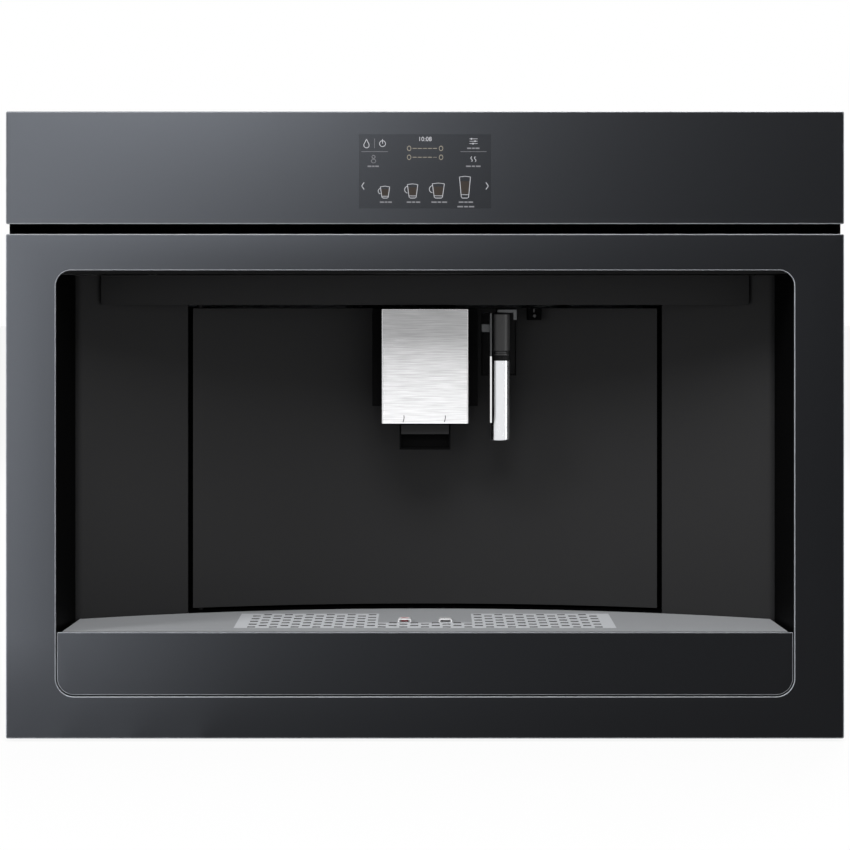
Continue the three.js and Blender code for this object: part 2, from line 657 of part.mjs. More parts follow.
/** The hopper's outer limits in plan, and those of the opening over it. */
const HOPPER = {
  x: [GRINDER_X - HOPPER_WIDTH / 2, GRINDER_X + HOPPER_WIDTH / 2],
  y: [CASING_BACK - HOPPER_BACK_MARGIN - HOPPER_DEPTH, CASING_BACK - HOPPER_BACK_MARGIN],
};

/** The lid's hinge: its axis, the barrel on the lid, and the ears and pins on the top panel. */
const LID_AXIS = { y: HOPPER.y[1] + LID_BARREL_RADIUS + SEAT, z: LID_BOTTOM + LID_BARREL_RADIUS };
const LID_BARREL = around(GRINDER_X, LID_BARREL_HALF);
const LID_EARS = [
  [LID_BARREL[0] - SEAT - LID_EAR, LID_BARREL[0] - SEAT],
  [LID_BARREL[1] + SEAT, LID_BARREL[1] + SEAT + LID_EAR],
];
const LID_PINS = [
  [LID_BARREL[0] - SEAT - 1, LID_BARREL[0] + LID_EAR],
  [LID_BARREL[1] - LID_EAR, LID_BARREL[1] + SEAT + 1],
];

function topPanel() {
  const half = CASING_HALF;
  const panel = block([-half, half], [CASING_FRONT, BACK_OUTER], [TOP_PANEL_BOTTOM, CASING_TOP]);
  const opening = block(
    grown(HOPPER.x, -LID_MARGIN),
    grown(HOPPER.y, -LID_MARGIN),
    [TOP_PANEL_BOTTOM - 1, CASING_TOP + 1],
  );
  const earZ = [CASING_TOP - 0.5, LID_AXIS.z + LID_BARREL_RADIUS];
  const ears = LID_EARS.map((x) => block(x, around(LID_AXIS.y, LID_BARREL_RADIUS), earZ));
  const pins = LID_PINS.map((x) => rodX(LID_AXIS.y, LID_AXIS.z, LID_BARREL_RADIUS / 2, x, 12));
  return join(cut(panel, opening), ...ears, ...pins);
}

function hopperLid() {
  const margin = LID_OVERLAP - LID_MARGIN;
  const panelY = [HOPPER.y[0] - margin, LID_AXIS.y];
  const panel = block(grown(HOPPER.x, margin), panelY, [LID_BOTTOM, LID_BOTTOM + LID]);
  const gapY = [HOPPER.y[1] - 1, LID_AXIS.y + 5];
  const barrelGap = (x0, x1) => block([x0, x1], gapY, [LID_BOTTOM - 1, CASING_TOP + 20]);
  const barrel = rodX(LID_AXIS.y, LID_AXIS.z, LID_BARREL_RADIUS, LID_BARREL);
  const bores = [
    [LID_BARREL[0] - 1, LID_BARREL[0] + LID_EAR + SEAT],
    [LID_BARREL[1] - LID_EAR - SEAT, LID_BARREL[1] + 1],
  ].map((x) => rodX(LID_AXIS.y, LID_AXIS.z, LID_BARREL_RADIUS / 2 + RUNNING, x, 12));
  const trimmed = cut(
    panel,
    barrelGap(HOPPER.x[0] - 20, LID_BARREL[0]),
    barrelGap(LID_BARREL[1], HOPPER.x[1] + 20),
  );
  return cut(join(trimmed, barrel), ...bores);
}

const INLET = {
  x: around(INLET_X, INLET_WIDTH / 2),
  z: around(PAN_TOP + INLET_ABOVE_PAN, INLET_HEIGHT / 2),
};

/** The back panel, with the fan's ring, hub pin and air slots, and the hole for the mains inlet. */
function backPanel() {
  const through = [BACK_INNER - 1, BACK_OUTER + 1];
  const inside = BACK_INNER - FAN_WIDTH - 10;
  const ring = cut(
    rodY(FAN_X, FAN_HEIGHT, FAN_RADIUS + 5, [inside, BACK_INNER + 0.5], 32),
    rodY(FAN_X, FAN_HEIGHT, FAN_RADIUS + 3, [inside - 1, BACK_OUTER + 1], 32),
  );
  const z = [PAN_BOTTOM, TOP_PANEL_BOTTOM - SEAT];
  const panel = block([-CASING_HALF, CASING_HALF], [BACK_INNER, BACK_OUTER], z);
  const slot = (x, middle) => block(x, through, around(middle, AIR_SLOT / 2));
  const slots = [];
  for (let row = -3; row <= 3; row++) {
    const half = Math.sqrt(FAN_RADIUS ** 2 - (row * AIR_SLOT_PITCH) ** 2);
    slots.push(slot(around(FAN_X, half), FAN_HEIGHT + row * AIR_SLOT_PITCH));
  }
  for (let row = 2; row < 6; row++) {
    slots.push(slot(LOWER_AIR_SLOTS, PAN_TOP + row * AIR_SLOT_PITCH));
  }
  const hub = rodY(FAN_X, FAN_HEIGHT, FAN_HUB_RADIUS, [BACK_INNER, BACK_OUTER], 24);
  const pin = rodY(FAN_X, FAN_HEIGHT, FAN_PIN_RADIUS, [inside + 2, BACK_OUTER - 0.2], 16);
  const inletHole = block(grown(INLET.x, SEAT), through, grown(INLET.z, SEAT));
  return join(cut(panel, ...slots, inletHole), ring, hub, pin);
}

function fanRotor() {
  const span = [BACK_INNER - 6 - FAN_WIDTH, BACK_INNER - 6];
  const hub = rodY(FAN_X, FAN_HEIGHT, FAN_HUB_RADIUS, span, 24);
  const blades = Array.from({ length: 7 }, (_, i) => {
    const blade = new THREE.BoxGeometry(FAN_RADIUS - FAN_HUB_RADIUS + 4, 1.5, FAN_WIDTH);
    blade.rotateX(Math.PI / 4).translate((FAN_RADIUS + FAN_HUB_RADIUS - 4) / 2, 0, 0);
    blade.rotateY((i / 7) * 2 * Math.PI).translate(FAN_X, (span[0] + span[1]) / 2, FAN_HEIGHT);
    return solid(blade);
  });
  const reach = rodY(FAN_X, FAN_HEIGHT, FAN_RADIUS, span, 32);
  const bore = rodY(FAN_X, FAN_HEIGHT, FAN_PIN_RADIUS + RUNNING, [span[0] - 1, span[1] + 1], 16);
  return cut(join(hub, ...blades).intersect(reach), bore);
}

/** The sheet behind the front panels, open where the niche and the display cable pass. */
function frontBulkhead() {
  const y = [BULKHEAD_FRONT, BULKHEAD_BACK];
  const sheet = block([-CASING_HALF, CASING_HALF], y, [FLOOR_GAP + CARRIER_INSET, CASING_TOP]);
  const opening = block(
    [-CARRIER_OPENING_HALF, CARRIER_OPENING_HALF],
    grown(y, 1),
    [SHELF_BOTTOM - SEAT, CEILING_TOP + SEAT],
  );
  return cut(sheet, opening, cableHole(grown(y, 1)));
}

/** The hole for the display's cable, through whatever lies between two depths. */
const cableHole = (y) => block([-20, 20], y, [CONTROL_BOTTOM + 14, CONTROL_BOTTOM + 30]);

function casing() {
  return group(
    piece("chassis_pan", chassisPan(), "zincSheet"),
    piece("side_panel_left", mirrorX(casingSide()), "zincSheet"),
    piece("side_panel_right", sideWithTankOpening(), "zincSheet"),
    piece("top_panel", topPanel(), "zincSheet"),
    piece("hopper_lid", hopperLid(), "blackPlastic"),
    piece("back_panel", backPanel(), "zincSheet"),
    piece("fan_rotor", fanRotor(), "blackPlastic"),
    piece("front_bulkhead", frontBulkhead(), "zincSheet"),
  );
}

// ---------------------------------------------------------------- front panels

const CONTROL_CARRIER = {
  half: FRONT_WIDTH / 2 - CARRIER_INSET,
  bottom: CONTROL_BOTTOM + CARRIER_INSET + 0.2,
  top: FRONT_TOP - CARRIER_INSET,
};

function controlCarrier() {
  const { half, bottom, top } = CONTROL_CARRIER;
  const wall = CARRIER_WALL;
  const floor = CARRIER_BACK - 2;
  const shell = cut(
    prismY(rectangle(half, bottom, top), [CARRIER_FRONT, CARRIER_BACK]),
    prismY(rectangle(half - wall, bottom + wall, top - wall), [CARRIER_FRONT - 1, floor]),
    cableHole([CARRIER_BACK - 3, CARRIER_BACK + 1]),
  );
  const bosses = boardCorners().map(([x, z]) => rodY(x, z, 3, [BOARD_BACK + SEAT, floor + 0.5], 12));
  return join(shell, ...bosses);
}

const DISPLAY_Z = (FRONT_TOP + CONTROL_BOTTOM) / 2 - DISPLAY_BELOW_MIDDLE;
const BOARD_FRONT = CARRIER_FRONT + DISPLAY_DEPTH + SEAT;
const BOARD_BACK = BOARD_FRONT + BOARD;
const CONTROL_BOARD_HALF = 120;
const CONTROL_BOARD_HALF_HEIGHT = 28;

function boardCorners() {
  const inset = 6;
  const x = CONTROL_BOARD_HALF - inset;
  const z = CONTROL_BOARD_HALF_HEIGHT - inset;
  return [
    [x, DISPLAY_Z + z],
    [-x, DISPLAY_Z + z],
    [x, DISPLAY_Z - z],
    [-x, DISPLAY_Z - z],
  ];
}

function displayModule() {
  const rim = 4;
  const middle = CARRIER_FRONT + DISPLAY_DEPTH / 2;
  const screen = (grow) =>
    rectangle(DISPLAY_WIDTH / 2 + grow, ...around(DISPLAY_Z, DISPLAY_HEIGHT / 2 + grow));
  return join(
    prismY(screen(0), [CARRIER_FRONT, middle + 1]),
    prismY(screen(rim), [middle, CARRIER_FRONT + DISPLAY_DEPTH]),
  );
}

function controlBoard() {
  const half = CONTROL_BOARD_HALF;
  const z = around(DISPLAY_Z, CONTROL_BOARD_HALF_HEIGHT);
  const chips = [-80, -30, 45].map((x) =>
    block([x, x + 24], [BOARD_BACK - 0.2, BOARD_BACK + 3], [DISPLAY_Z - 8, DISPLAY_Z + 12]),
  );
  return join(block([-half, half], [BOARD_FRONT, BOARD_BACK], z), ...chips);
}

/** The dark channel behind the gap between the panels, where fingers pull the machine out. */
function handleChannel() {
  const half = FRONT_WIDTH / 2 - CARRIER_INSET;
  const bottom = FRAME_TOP - CARRIER_INSET + SEAT;
  const top = CONTROL_CARRIER.bottom - SEAT;
  const trough = rectangle(half - 2, FRAME_TOP + 0.2, CONTROL_BOTTOM);
  return cut(
    prismY(rectangle(half, bottom, top), [CARRIER_FRONT, CARRIER_BACK]),
    prismY(trough, [CARRIER_FRONT - 1, CARRIER_BACK - CARRIER_WALL]),
  );
}

/** The ring behind the frame glass, hollow towards the glass, flat towards the cabinet. */
function frameCarrier() {
  const half = FRONT_WIDTH / 2 - CARRIER_INSET;
  const bottom = FLOOR_GAP + CARRIER_INSET;
  const top = FRAME_TOP - CARRIER_INSET;
  const openBottom = SHELF_BOTTOM - SEAT;
  const openTop = CEILING_TOP + SEAT;
  const wall = CARRIER_WALL;
  const ring = cut(
    prismY(rectangle(half, bottom, top), [CARRIER_FRONT, CARRIER_BACK]),
    prismY(rectangle(CARRIER_OPENING_HALF, openBottom, openTop), [0, CARRIER_BACK + 1]),
  );
  const inner = rectangle(CARRIER_OPENING_HALF + wall, openBottom - wall, openTop + wall);
  const hollow = cut(
    prismY(rectangle(half - wall, bottom + wall, top - wall), [0, CARRIER_BACK - wall]),
    prismY(inner, [-1, CARRIER_BACK]),
  );
  return cut(ring, hollow);
}

function frontPanels() {
  const half = FRONT_WIDTH / 2;
  const opening = roundedRectangle(
    OPENING_WIDTH / 2,
    OPENING_BOTTOM,
    OPENING_TOP,
    OPENING_BOTTOM_RADIUS,
    OPENING_TOP_RADIUS,
  );
  return group(
    piece("control_glass", glassPanel(rectangle(half, CONTROL_BOTTOM, FRONT_TOP)), "darkGlass"),
    piece("control_carrier", controlCarrier(), "blackPlastic"),
    piece("display_module", displayModule(), "display"),
    piece("control_board", controlBoard(), "boardGreen"),
    piece("handle_channel", handleChannel(), "matteBlack"),
    piece("frame_glass", glassPanel(rectangle(half, FLOOR_GAP, FRAME_TOP), opening), "darkGlass"),
    piece("frame_carrier", frameCarrier(), "blackPlastic"),
  );
}

// ---------------------------------------------------------------- niche

/** A plan outline bounded by the niche walls, from the front to the back. */
function nicheOutline(offset) {
  const right = nicheSide(offset, 0);
  return [...right, ...mirrored(right).slice(1)];
}

function nichePanel() {
  const inner = nicheSide(0, SIDE_PANEL_START);
  const outer = nicheSide(NICHE_WALL, SIDE_PANEL_START);
  return prismZ([...inner, ...outer.reverse()], [SHELF_TOP + SEAT, CEILING_BOTTOM - SEAT]);
}

/** The bar in front of the door's top edge. Its floor carries the door's upper pivot. */
function valance() {
  const shell = (inset) => {
    const ledge = SIDE_PANEL_START - SEAT - inset;
    const radius = NICHE_RADIUS - SEAT - inset;
    const backRadius = HINGE_SHELF_RADIUS - inset;
    const end = VALANCE_WIDTH / 2 - 6 * inset; // solid where the bar runs out against the wall
    const right = [
      [end, VALANCE_SETBACK + inset],
      ...arcLine(radius, end, ledge, 4),
      ...arcLine(backRadius, ledge, 0, 6),
    ];
    return [...right, ...mirrored(right).slice(1)];
  };
  const top = CEILING_BOTTOM - SEAT;
  const front = roundedRectangle(VALANCE_WIDTH / 2, VALANCE_BOTTOM, top, VALANCE_CORNER, 0, 3);
  const outer = prismZ(shell(0), [VALANCE_BOTTOM, top]).intersect(prismY(front, [0, OVERALL_DEPTH]));
  const hollow = prismZ(shell(NICHE_WALL), [VALANCE_BOTTOM + NICHE_WALL, top + 1]);
  const boreZ = [VALANCE_BOTTOM - 1, VALANCE_BOTTOM + NICHE_WALL + 1];
  const bore = rodZ(HINGE_X, HINGE_Y, PIVOT_RADIUS + RUNNING, boreZ, 16);
  return cut(outer, hollow, bore);
}

/** The moulding that the niche and the drip tray stand on, with the deck behind the door. */
function trayShelf() {
  const half = SIDE_PANEL_START - SEAT;
  const arcBand = (inner, outer) => [...arcLine(inner, half, -half, 12), ...arcLine(outer, -half, half, 12)];
  const floor = prismZ(nicheOutline(NICHE_WALL), [SHELF_BOTTOM, SHELF_TOP]);
  const wall = prismZ(arcBand(NICHE_RADIUS, NICHE_RADIUS + NICHE_WALL), [SHELF_TOP - 1, DECK_TOP]);
  const deckPlan = [...arcLine(NICHE_RADIUS, half, -half, 12), [-half, DECK_BACK], [half, DECK_BACK]];
  const deck = prismZ(deckPlan, [DECK_BOTTOM, DECK_TOP]);
  const ribFront = arcDepth(half, NICHE_RADIUS + 1);
  const rib = block([half - NICHE_WALL, half], [ribFront, DECK_BACK], [SHELF_BOTTOM, DECK_TOP - 1]);
  const bore = rodZ(HINGE_X, HINGE_Y, PIVOT_RADIUS + RUNNING, [DECK_BOTTOM - 1, DECK_TOP + 1], 16);
  return cut(join(floor, wall, deck, rib, mirrorX(rib)), bore);
}

function niche() {
  return group(
    ...pair("niche_panel", nichePanel(), "matteBlack"),
    piece("niche_ceiling", prismZ(nicheOutline(NICHE_WALL), [CEILING_BOTTOM, CEILING_TOP]), "matteBlack"),
    piece("valance", valance(), "blackPlastic"),
    piece("tray_shelf", trayShelf(), "blackPlastic"),
  );
}

// ---------------------------------------------------------------- service door and what it carries

const NOTCH = {
  x: around(NOTCH_CENTRE_X, NOTCH_WIDTH / 2),
  z: [DOOR_TOP - NOTCH_HEIGHT, DOOR_TOP - DOOR_SKIN - 1],
};

function serviceDoor() {
  const band = (inner, outer, half) => [
    ...arcLine(inner, half, -half, 16),
    ...arcLine(outer, -half, half, 16),
  ];
  const skin = DOOR_SKIN;
  const shell = cut(
    prismZ(band(NICHE_RADIUS, DOOR_BACK_RADIUS, DOOR_HALF), [DOOR_BOTTOM, DOOR_TOP]),
    prismZ(
      band(NICHE_RADIUS + skin, DOOR_BACK_RADIUS + 2, DOOR_HALF - skin),
      [DOOR_BOTTOM + skin, DOOR_TOP - skin],
    ),
  );
  const notch = block(NOTCH.x, [NICHE_DEPTH - 20, NICHE_DEPTH + DOOR_SKIN + 2], NOTCH.z);
  const pivots = [
    [DOOR_BOTTOM - DOOR_OVER_PLATE / 2 - PIVOT_REACH, DOOR_BOTTOM + 1],
    [DOOR_TOP - 1, VALANCE_BOTTOM + PIVOT_REACH],
  ].map((z) => rodZ(HINGE_X, HINGE_Y, PIVOT_RADIUS, z, 16));
  return join(cut(shell, notch), ...pivots);
}

/** A block on the door: plain towards the niche, curved to the door's face at the back. */
function onDoor(x, setback, z) {
  const line = arcLine(NICHE_RADIUS - SEAT, x[1], x[0], 4);
  return prismZ([[x[0], setback], [x[1], setback], ...line], z);
}

const GUIDE_TOP = DOOR_TOP - COVER_BELOW_DOOR_TOP;
const GUIDE_Z = [GUIDE_TOP - GUIDE_HEIGHT, GUIDE_TOP];
const CHANNEL_HALF = GUIDE_WIDTH / 2 - GUIDE_WALL;
const CHANNEL_BACK = GUIDE_SETBACK + GUIDE_CHANNEL_DEPTH;
const LIP = 4;

function dispenserGuide() {
  const half = GUIDE_WIDTH / 2;
  const body = onDoor([-half, half], GUIDE_SETBACK, GUIDE_Z);
  const open = grown(GUIDE_Z, 1);
  const channel = block([-CHANNEL_HALF, CHANNEL_HALF], [GUIDE_SETBACK + LIP, CHANNEL_BACK], open);
  const mouth = block([LIP - CHANNEL_HALF, CHANNEL_HALF - LIP], [GUIDE_SETBACK - 1, CHANNEL_BACK], open);
  return cut(body, channel, mouth);
}

const COVER_Z = [GUIDE_TOP - COVER_HEIGHT, GUIDE_TOP];
const COVER_HALF = COVER_WIDTH / 2;

/** Brushed sheet folded round the front, the sides and the top of the slider. */
function dispenserCover() {
  const outer = block([-COVER_HALF, COVER_HALF], [COVER_SETBACK, COVER_SETBACK + COVER_RETURN], COVER_Z);
  const inner = block(
    around(0, COVER_HALF - COVER_SHEET),
    [COVER_SETBACK + COVER_SHEET, COVER_SETBACK + COVER_RETURN + 1],
    [COVER_Z[0] - 1, COVER_Z[1] - COVER_SHEET],
  );
  return cut(outer, inner);
}

/** The carriage behind the cover: a block, and a T-shaped tongue that runs in the guide. */
function dispenserSlider() {
  const gap = SEAT * 2;
  const top = COVER_Z[1] - COVER_SHEET - SEAT;
  const head = around(0, COVER_HALF - COVER_SHEET - SEAT);
  const front = COVER_SETBACK + COVER_SHEET + SEAT;
  const body = block(head, [front, COVER_SETBACK + COVER_RETURN], [COVER_Z[0], top]);
  const neckHalf = CHANNEL_HALF - LIP - gap;
  const tongueHalf = CHANNEL_HALF - gap;
  const back = CHANNEL_BACK - gap;
  const neck = block([-neckHalf, neckHalf], [COVER_SETBACK + COVER_RETURN - 1, back], [COVER_Z[0], top]);
  const tongue = block([-tongueHalf, tongueHalf], [GUIDE_SETBACK + LIP + gap, back], [GUIDE_Z[0], top]);
  const hoseDuct = block([-14, 14], [front + 10, CHANNEL_BACK - 8], [COVER_Z[0] - 1, top + 1]);
  return cut(join(body, neck, tongue), hoseDuct);
}

function spoutBlock() {
  const z = [COVER_Z[0] - SEAT - SPOUT_HEIGHT, COVER_Z[0] - SEAT];
  const half = SPOUT_WIDTH / 2;
  const y = [SPOUT_SETBACK, SPOUT_SETBACK + SPOUT_DEPTH];
  const recess = block([1.2 - half, half - 1.2], [y[0] - 1, y[0] + 5], [z[0] + 1.2, z[1] - SPOUT_LIP]);
  const outlets = [-1, 1].map((side) =>
    rodZ((side * SPOUT_HOLE_SPACING) / 2, y[0] + 15, SPOUT_HOLE_RADIUS, [z[0] - 1, z[0] + 9], 16),
  );
  return cut(block([-half, half], y, z), recess, ...outlets);
}

const CONNECTOR_TOP = DOOR_TOP - CONNECTOR_BELOW_DOOR_TOP;
const CONNECTOR_Z = [CONNECTOR_TOP - CONNECTOR_LENGTH, CONNECTOR_TOP];
const BUTTON_Z = (CONNECTOR_Z[0] + CONNECTOR_Z[1]) / 2 + 4.4;
const NECK_LENGTH = 1.5;

function nozzleConnector() {
  const neckZ = [CONNECTOR_Z[0] - NECK_LENGTH + SEAT, CONNECTOR_Z[0] + 1];
  const body = rodZ(NOZZLE_X, NOZZLE_SETBACK, NOZZLE_RADIUS, CONNECTOR_Z);
  const neck = rodZ(NOZZLE_X, NOZZLE_SETBACK, NOZZLE_RADIUS - 1.2, neckZ);
  const pocket = block(
    [NOZZLE_X - NOZZLE_RADIUS - 1, NOZZLE_X - NOZZLE_RADIUS + 2 + 2 * BUTTON_TRAVEL],
    around(NOZZLE_SETBACK, BUTTON_SIZE / 2 + SEAT),
    around(BUTTON_Z, BUTTON_SIZE / 2 + SEAT),
  );
  return cut(join(body, neck), pocket);
}

function nozzleButton() {
  const edge = NOZZLE_X - NOZZLE_RADIUS;
  const cap = around(BUTTON_Z, BUTTON_SIZE / 2);
  const y = around(NOZZLE_SETBACK, BUTTON_SIZE / 2);
  return block([edge - BUTTON_SIZE, edge + BUTTON_TRAVEL], y, cap);
}

function nozzleTube() {
  const top = CONNECTOR_Z[0] - NECK_LENGTH;
  const bottom = top - NOZZLE_LENGTH;
  const tube = rodZ(NOZZLE_X, NOZZLE_SETBACK, NOZZLE_RADIUS, [bottom, top]);
  return cut(tube, rodZ(NOZZLE_X, NOZZLE_SETBACK, NOZZLE_BORE, [bottom - 1, top + 1], 16));
}

/** The socket that fills the door's notch, with an arm over the connector and a short leg. */
function nozzleBracket() {
  const face = arcDepth(NOTCH.x[1], NICHE_RADIUS) + 1.5;
  const back = NICHE_DEPTH + DOOR_RETURN + 3;
  const socket = block(grown(NOTCH.x, -SEAT), [face, back], grown(NOTCH.z, -SEAT));
  const armZ = [CONNECTOR_Z[1] + SEAT, CONNECTOR_Z[1] + SEAT + BRACKET_PLATE];
  const armX = [NOZZLE_X - 2, NOTCH.x[1] - 0.8];
  const doorFace = arcDepth(armX[1], NICHE_RADIUS) - SEAT;
  const armY = [NOZZLE_SETBACK - 4, doorFace];
  const dropX = [armX[1] - 8, armX[1]];
  const drop = block(dropX, [doorFace - 4, doorFace], [NOTCH.z[1] - 8, armZ[1]]);
  const tail = block(dropX, [doorFace - 4, face + 1], [NOTCH.z[1] - 8, NOTCH.z[1] - SEAT]);
  const leg = block([armX[1] - 2.6, armX[1]], [armY[0], armY[0] + 10], [armZ[0] - 6, armZ[1]]);
  return join(socket, block(armX, armY, armZ), drop, tail, leg);
}

function doorAndDispenser() {
  const sensorX = around(SENSOR_X, SENSOR_WIDTH / 2);
  const sensorSetback = arcDepth(sensorX[1], NICHE_RADIUS) - SENSOR_DEPTH;
  const sensorZ = [DOOR_TOP - SENSOR_HEIGHT, DOOR_TOP];
  return group(
    piece("service_door", serviceDoor(), "doorBlack"),
    piece("dispenser_guide", dispenserGuide(), "matteBlack"),
    piece("dispenser_cover", dispenserCover(), "brushedSteel"),
    piece("dispenser_slider", dispenserSlider(), "matteBlack"),
    piece("spout_block", spoutBlock(), "blackPlastic"),
    piece("nozzle_connector", nozzleConnector(), "blackPlastic"),
    piece("nozzle_button", nozzleButton(), "greyPlastic"),
    piece("nozzle_tube", nozzleTube(), "chrome"),
    piece("nozzle_bracket", nozzleBracket(), "matteBlack"),
    piece("sensor_block", onDoor(sensorX, sensorSetback, sensorZ), "blackPlastic"),
  );
}

// ---------------------------------------------------------------- drip tray and cup tray

const PLATE_BACK_RADIUS = NICHE_RADIUS - PLATE_BACK_GAP;

/** Half the tub's width: it slides out past the opening's rounded lower corners. */
function tubHalf() {
  const radius = OPENING_BOTTOM_RADIUS - SEAT;
  const underCentre = OPENING_BOTTOM + OPENING_BOTTOM_RADIUS - TUB_BOTTOM;
  return OPENING_WIDTH / 2 - OPENING_BOTTOM_RADIUS + Math.sqrt(radius ** 2 - underCentre ** 2);
}

/** A plan outline with straight sides and the door's arc at the back. */
function trayOutline(frontHalf, backHalf, front, radius) {
  const arc = arcLine(radius, backHalf, -backHalf, 20);
  return [[-frontHalf, front], [frontHalf, front], ...arc];
}

function trayTub() {
  const outline = (inset) => {
    const half = tubHalf() - inset;
    return trayOutline(half, half, CARRIER_FRONT + inset, PLATE_BACK_RADIUS - 1 - inset);
  };
  return cut(
    prismZ(outline(0), [TUB_BOTTOM, TUB_RIM]),
    prismZ(outline(TRAY_WALL), [TUB_FLOOR, TUB_RIM + 1]),
  );
}

/** Slots in staggered columns, left out round the hoods. */
function grateSlots() {
  const slots = [];
  const through = [PLATE_BOTTOM - 1, PLATE_TOP + 1];
  const columns = Math.floor((GRATE_HALF_WIDTH - GRATE_END_MARGIN) / SLOT_PITCH_X);
  for (let column = -columns; column <= columns; column++) {
    const x = column * SLOT_PITCH_X;
    const offset = column % 2 === 0 ? 0 : SLOT_PITCH_Y / 2;
    for (let y = GRATE_FRONT + SLOT_DEPTH + offset; y < GRATE_BACK - SLOT_DEPTH; y += SLOT_PITCH_Y) {
      const nearHoods = Math.abs(x) < GRATE_MIDDLE_HALF_WIDTH && y > GRATE_MIDDLE_FRONT;
      if (nearHoods) continue;
      slots.push(block(around(x, SLOT_WIDTH / 2), around(y, SLOT_DEPTH / 2), through));
    }
  }
  return slots;
}

/** A low arch over an outlet, open towards the user. */
function hood(x) {
  const outline = (grow, bottom) =>
    roundedRectangle(HOOD_WIDTH / 2 + grow, bottom, PLATE_TOP + HOOD_HEIGHT + grow, 0, 1.6 + grow, 3).map(
      ([u, z]) => [x + u, z],
    );
  const back = HOOD_FRONT + HOOD_LENGTH;
  const shell = prismY(outline(0, PLATE_TOP - 0.5), [HOOD_FRONT, back]);
  const hollow = prismY(outline(-HOOD_WALL, PLATE_BOTTOM - 1), [HOOD_FRONT - 1, back - HOOD_WALL]);
  const sill = block([x - 20, x + 20], [HOOD_FRONT - 2, HOOD_FRONT + 1.5], [0, PLATE_TOP]);
  return { shell, hollow: hollow.subtract(sill) };
}

const FLOAT_X = -HOOD_SPACING / 2;
const FLOAT_Y = HOOD_FRONT + HOOD_LENGTH / 2;

/** The cross of the float: one bar each way. */
function floatCross(grow, z) {
  const thin = FLOAT_STEM / 2 + grow;
  const long = HOOD_LENGTH / 2 - HOOD_WALL - 1 + grow;
  const wide = HOOD_WIDTH / 2 - HOOD_WALL - 1 + grow;
  return join(
    block(around(FLOAT_X, thin), around(FLOAT_Y, long), z),
    block(around(FLOAT_X, wide), around(FLOAT_Y, thin), z),
  );
}

function cupTrayPlate() {
  const frontHalf = NICHE_FRONT_HALF - PLATE_EDGE_GAP;
  const outline = trayOutline(frontHalf, NICHE_BACK_HALF - 3, CARRIER_FRONT + SEAT, PLATE_BACK_RADIUS);
  const plate = cut(prismZ(outline, [PLATE_BOTTOM, PLATE_TOP]), ...grateSlots());
  const hoods = [-1, 1].map((side) => hood((side * HOOD_SPACING) / 2));
  const arched = cut(join(plate, ...hoods.map((h) => h.shell)), ...hoods.map((h) => h.hollow));
  return cut(arched, floatCross(0.5, [PLATE_BOTTOM - 1, PLATE_TOP + HOOD_HEIGHT + 1]));
}

function trayFloat() {
  const padTop = TUB_FLOOR + SEAT + FLOAT_PAD_HEIGHT;
  const padZ = [TUB_FLOOR + SEAT, padTop];
  const pad = block(around(FLOAT_X, FLOAT_PAD / 2), around(FLOAT_Y, FLOAT_PAD / 2), padZ);
  return join(pad, floatCross(0, [padTop - 1, PLATE_TOP + HOOD_HEIGHT - 0.2]));
}

function dripTray() {
  const front = roundedRectangle(
    OPENING_WIDTH / 2 - TRAY_FRONT_GAP,
    TRAY_FRONT_BOTTOM,
    PLATE_TOP,
    OPENING_BOTTOM_RADIUS - TRAY_FRONT_GAP,
    0,
  );
  return group(
    piece("tray_front", glassPanel(front), "darkGlass"),
    piece("tray_tub", trayTub(), "blackPlastic"),
    piece("cup_tray_plate", cupTrayPlate(), "trayPlate"),
    piece("tray_float", trayFloat(), "redPlastic"),
  );
}

// ---------------------------------------------------------------- brewing unit

function infuserFrame() {
  const x = [BREW_LEFT, BREW_RIGHT];
  const plateFront = BREW_BACK - BREW_BACK_PLATE;
  const front = BREW_BACK - BREW_FRAME_DEPTH;
  const lower = block(x, [front, BREW_BACK], [DECK_SEAT, BREW_BASE_TOP]);
  const upper = block(x, [front, BREW_BACK], [BREW_ARM_BOTTOM, BREW_TOP]);
  const back = block(x, [plateFront, BREW_BACK], [DECK_SEAT, BREW_TOP]);
  const window = [CHAMBER_MOUTH - CHUTE_MARGIN, GRINDER_BOTTOM + CHUTE_WINDOW_REACH];
  const chute = block(around(CHUTE_X, CHUTE_HALF + 1), [plateFront - 1, BREW_BACK + 1], window);
  const bores = [
    [DECK_SEAT + 3, BREW_BASE_TOP + 1],
    [BREW_ARM_BOTTOM - 1, BREW_TOP + 1],
  ].map((z) => rodZ(SCREW_X, BREW_AXIS_Y, JOURNAL_RADIUS + RUNNING, z, 16));
  return cut(join(lower, upper, back), chute, ...bores);
}

function brewPiston() {
  const top = BREW_ARM_BOTTOM - SEAT;
  return turnedZ(CHAMBER_X, BREW_AXIS_Y, [
    [0, PISTON_FACE],
    [PISTON_RADIUS - 1.5, PISTON_FACE],
    [PISTON_RADIUS, PISTON_FACE + 1.5],
    [PISTON_RADIUS, PISTON_FACE + 26],
    [12, PISTON_FACE + 32],
    [12, top],
    [0, top],
  ]);
}

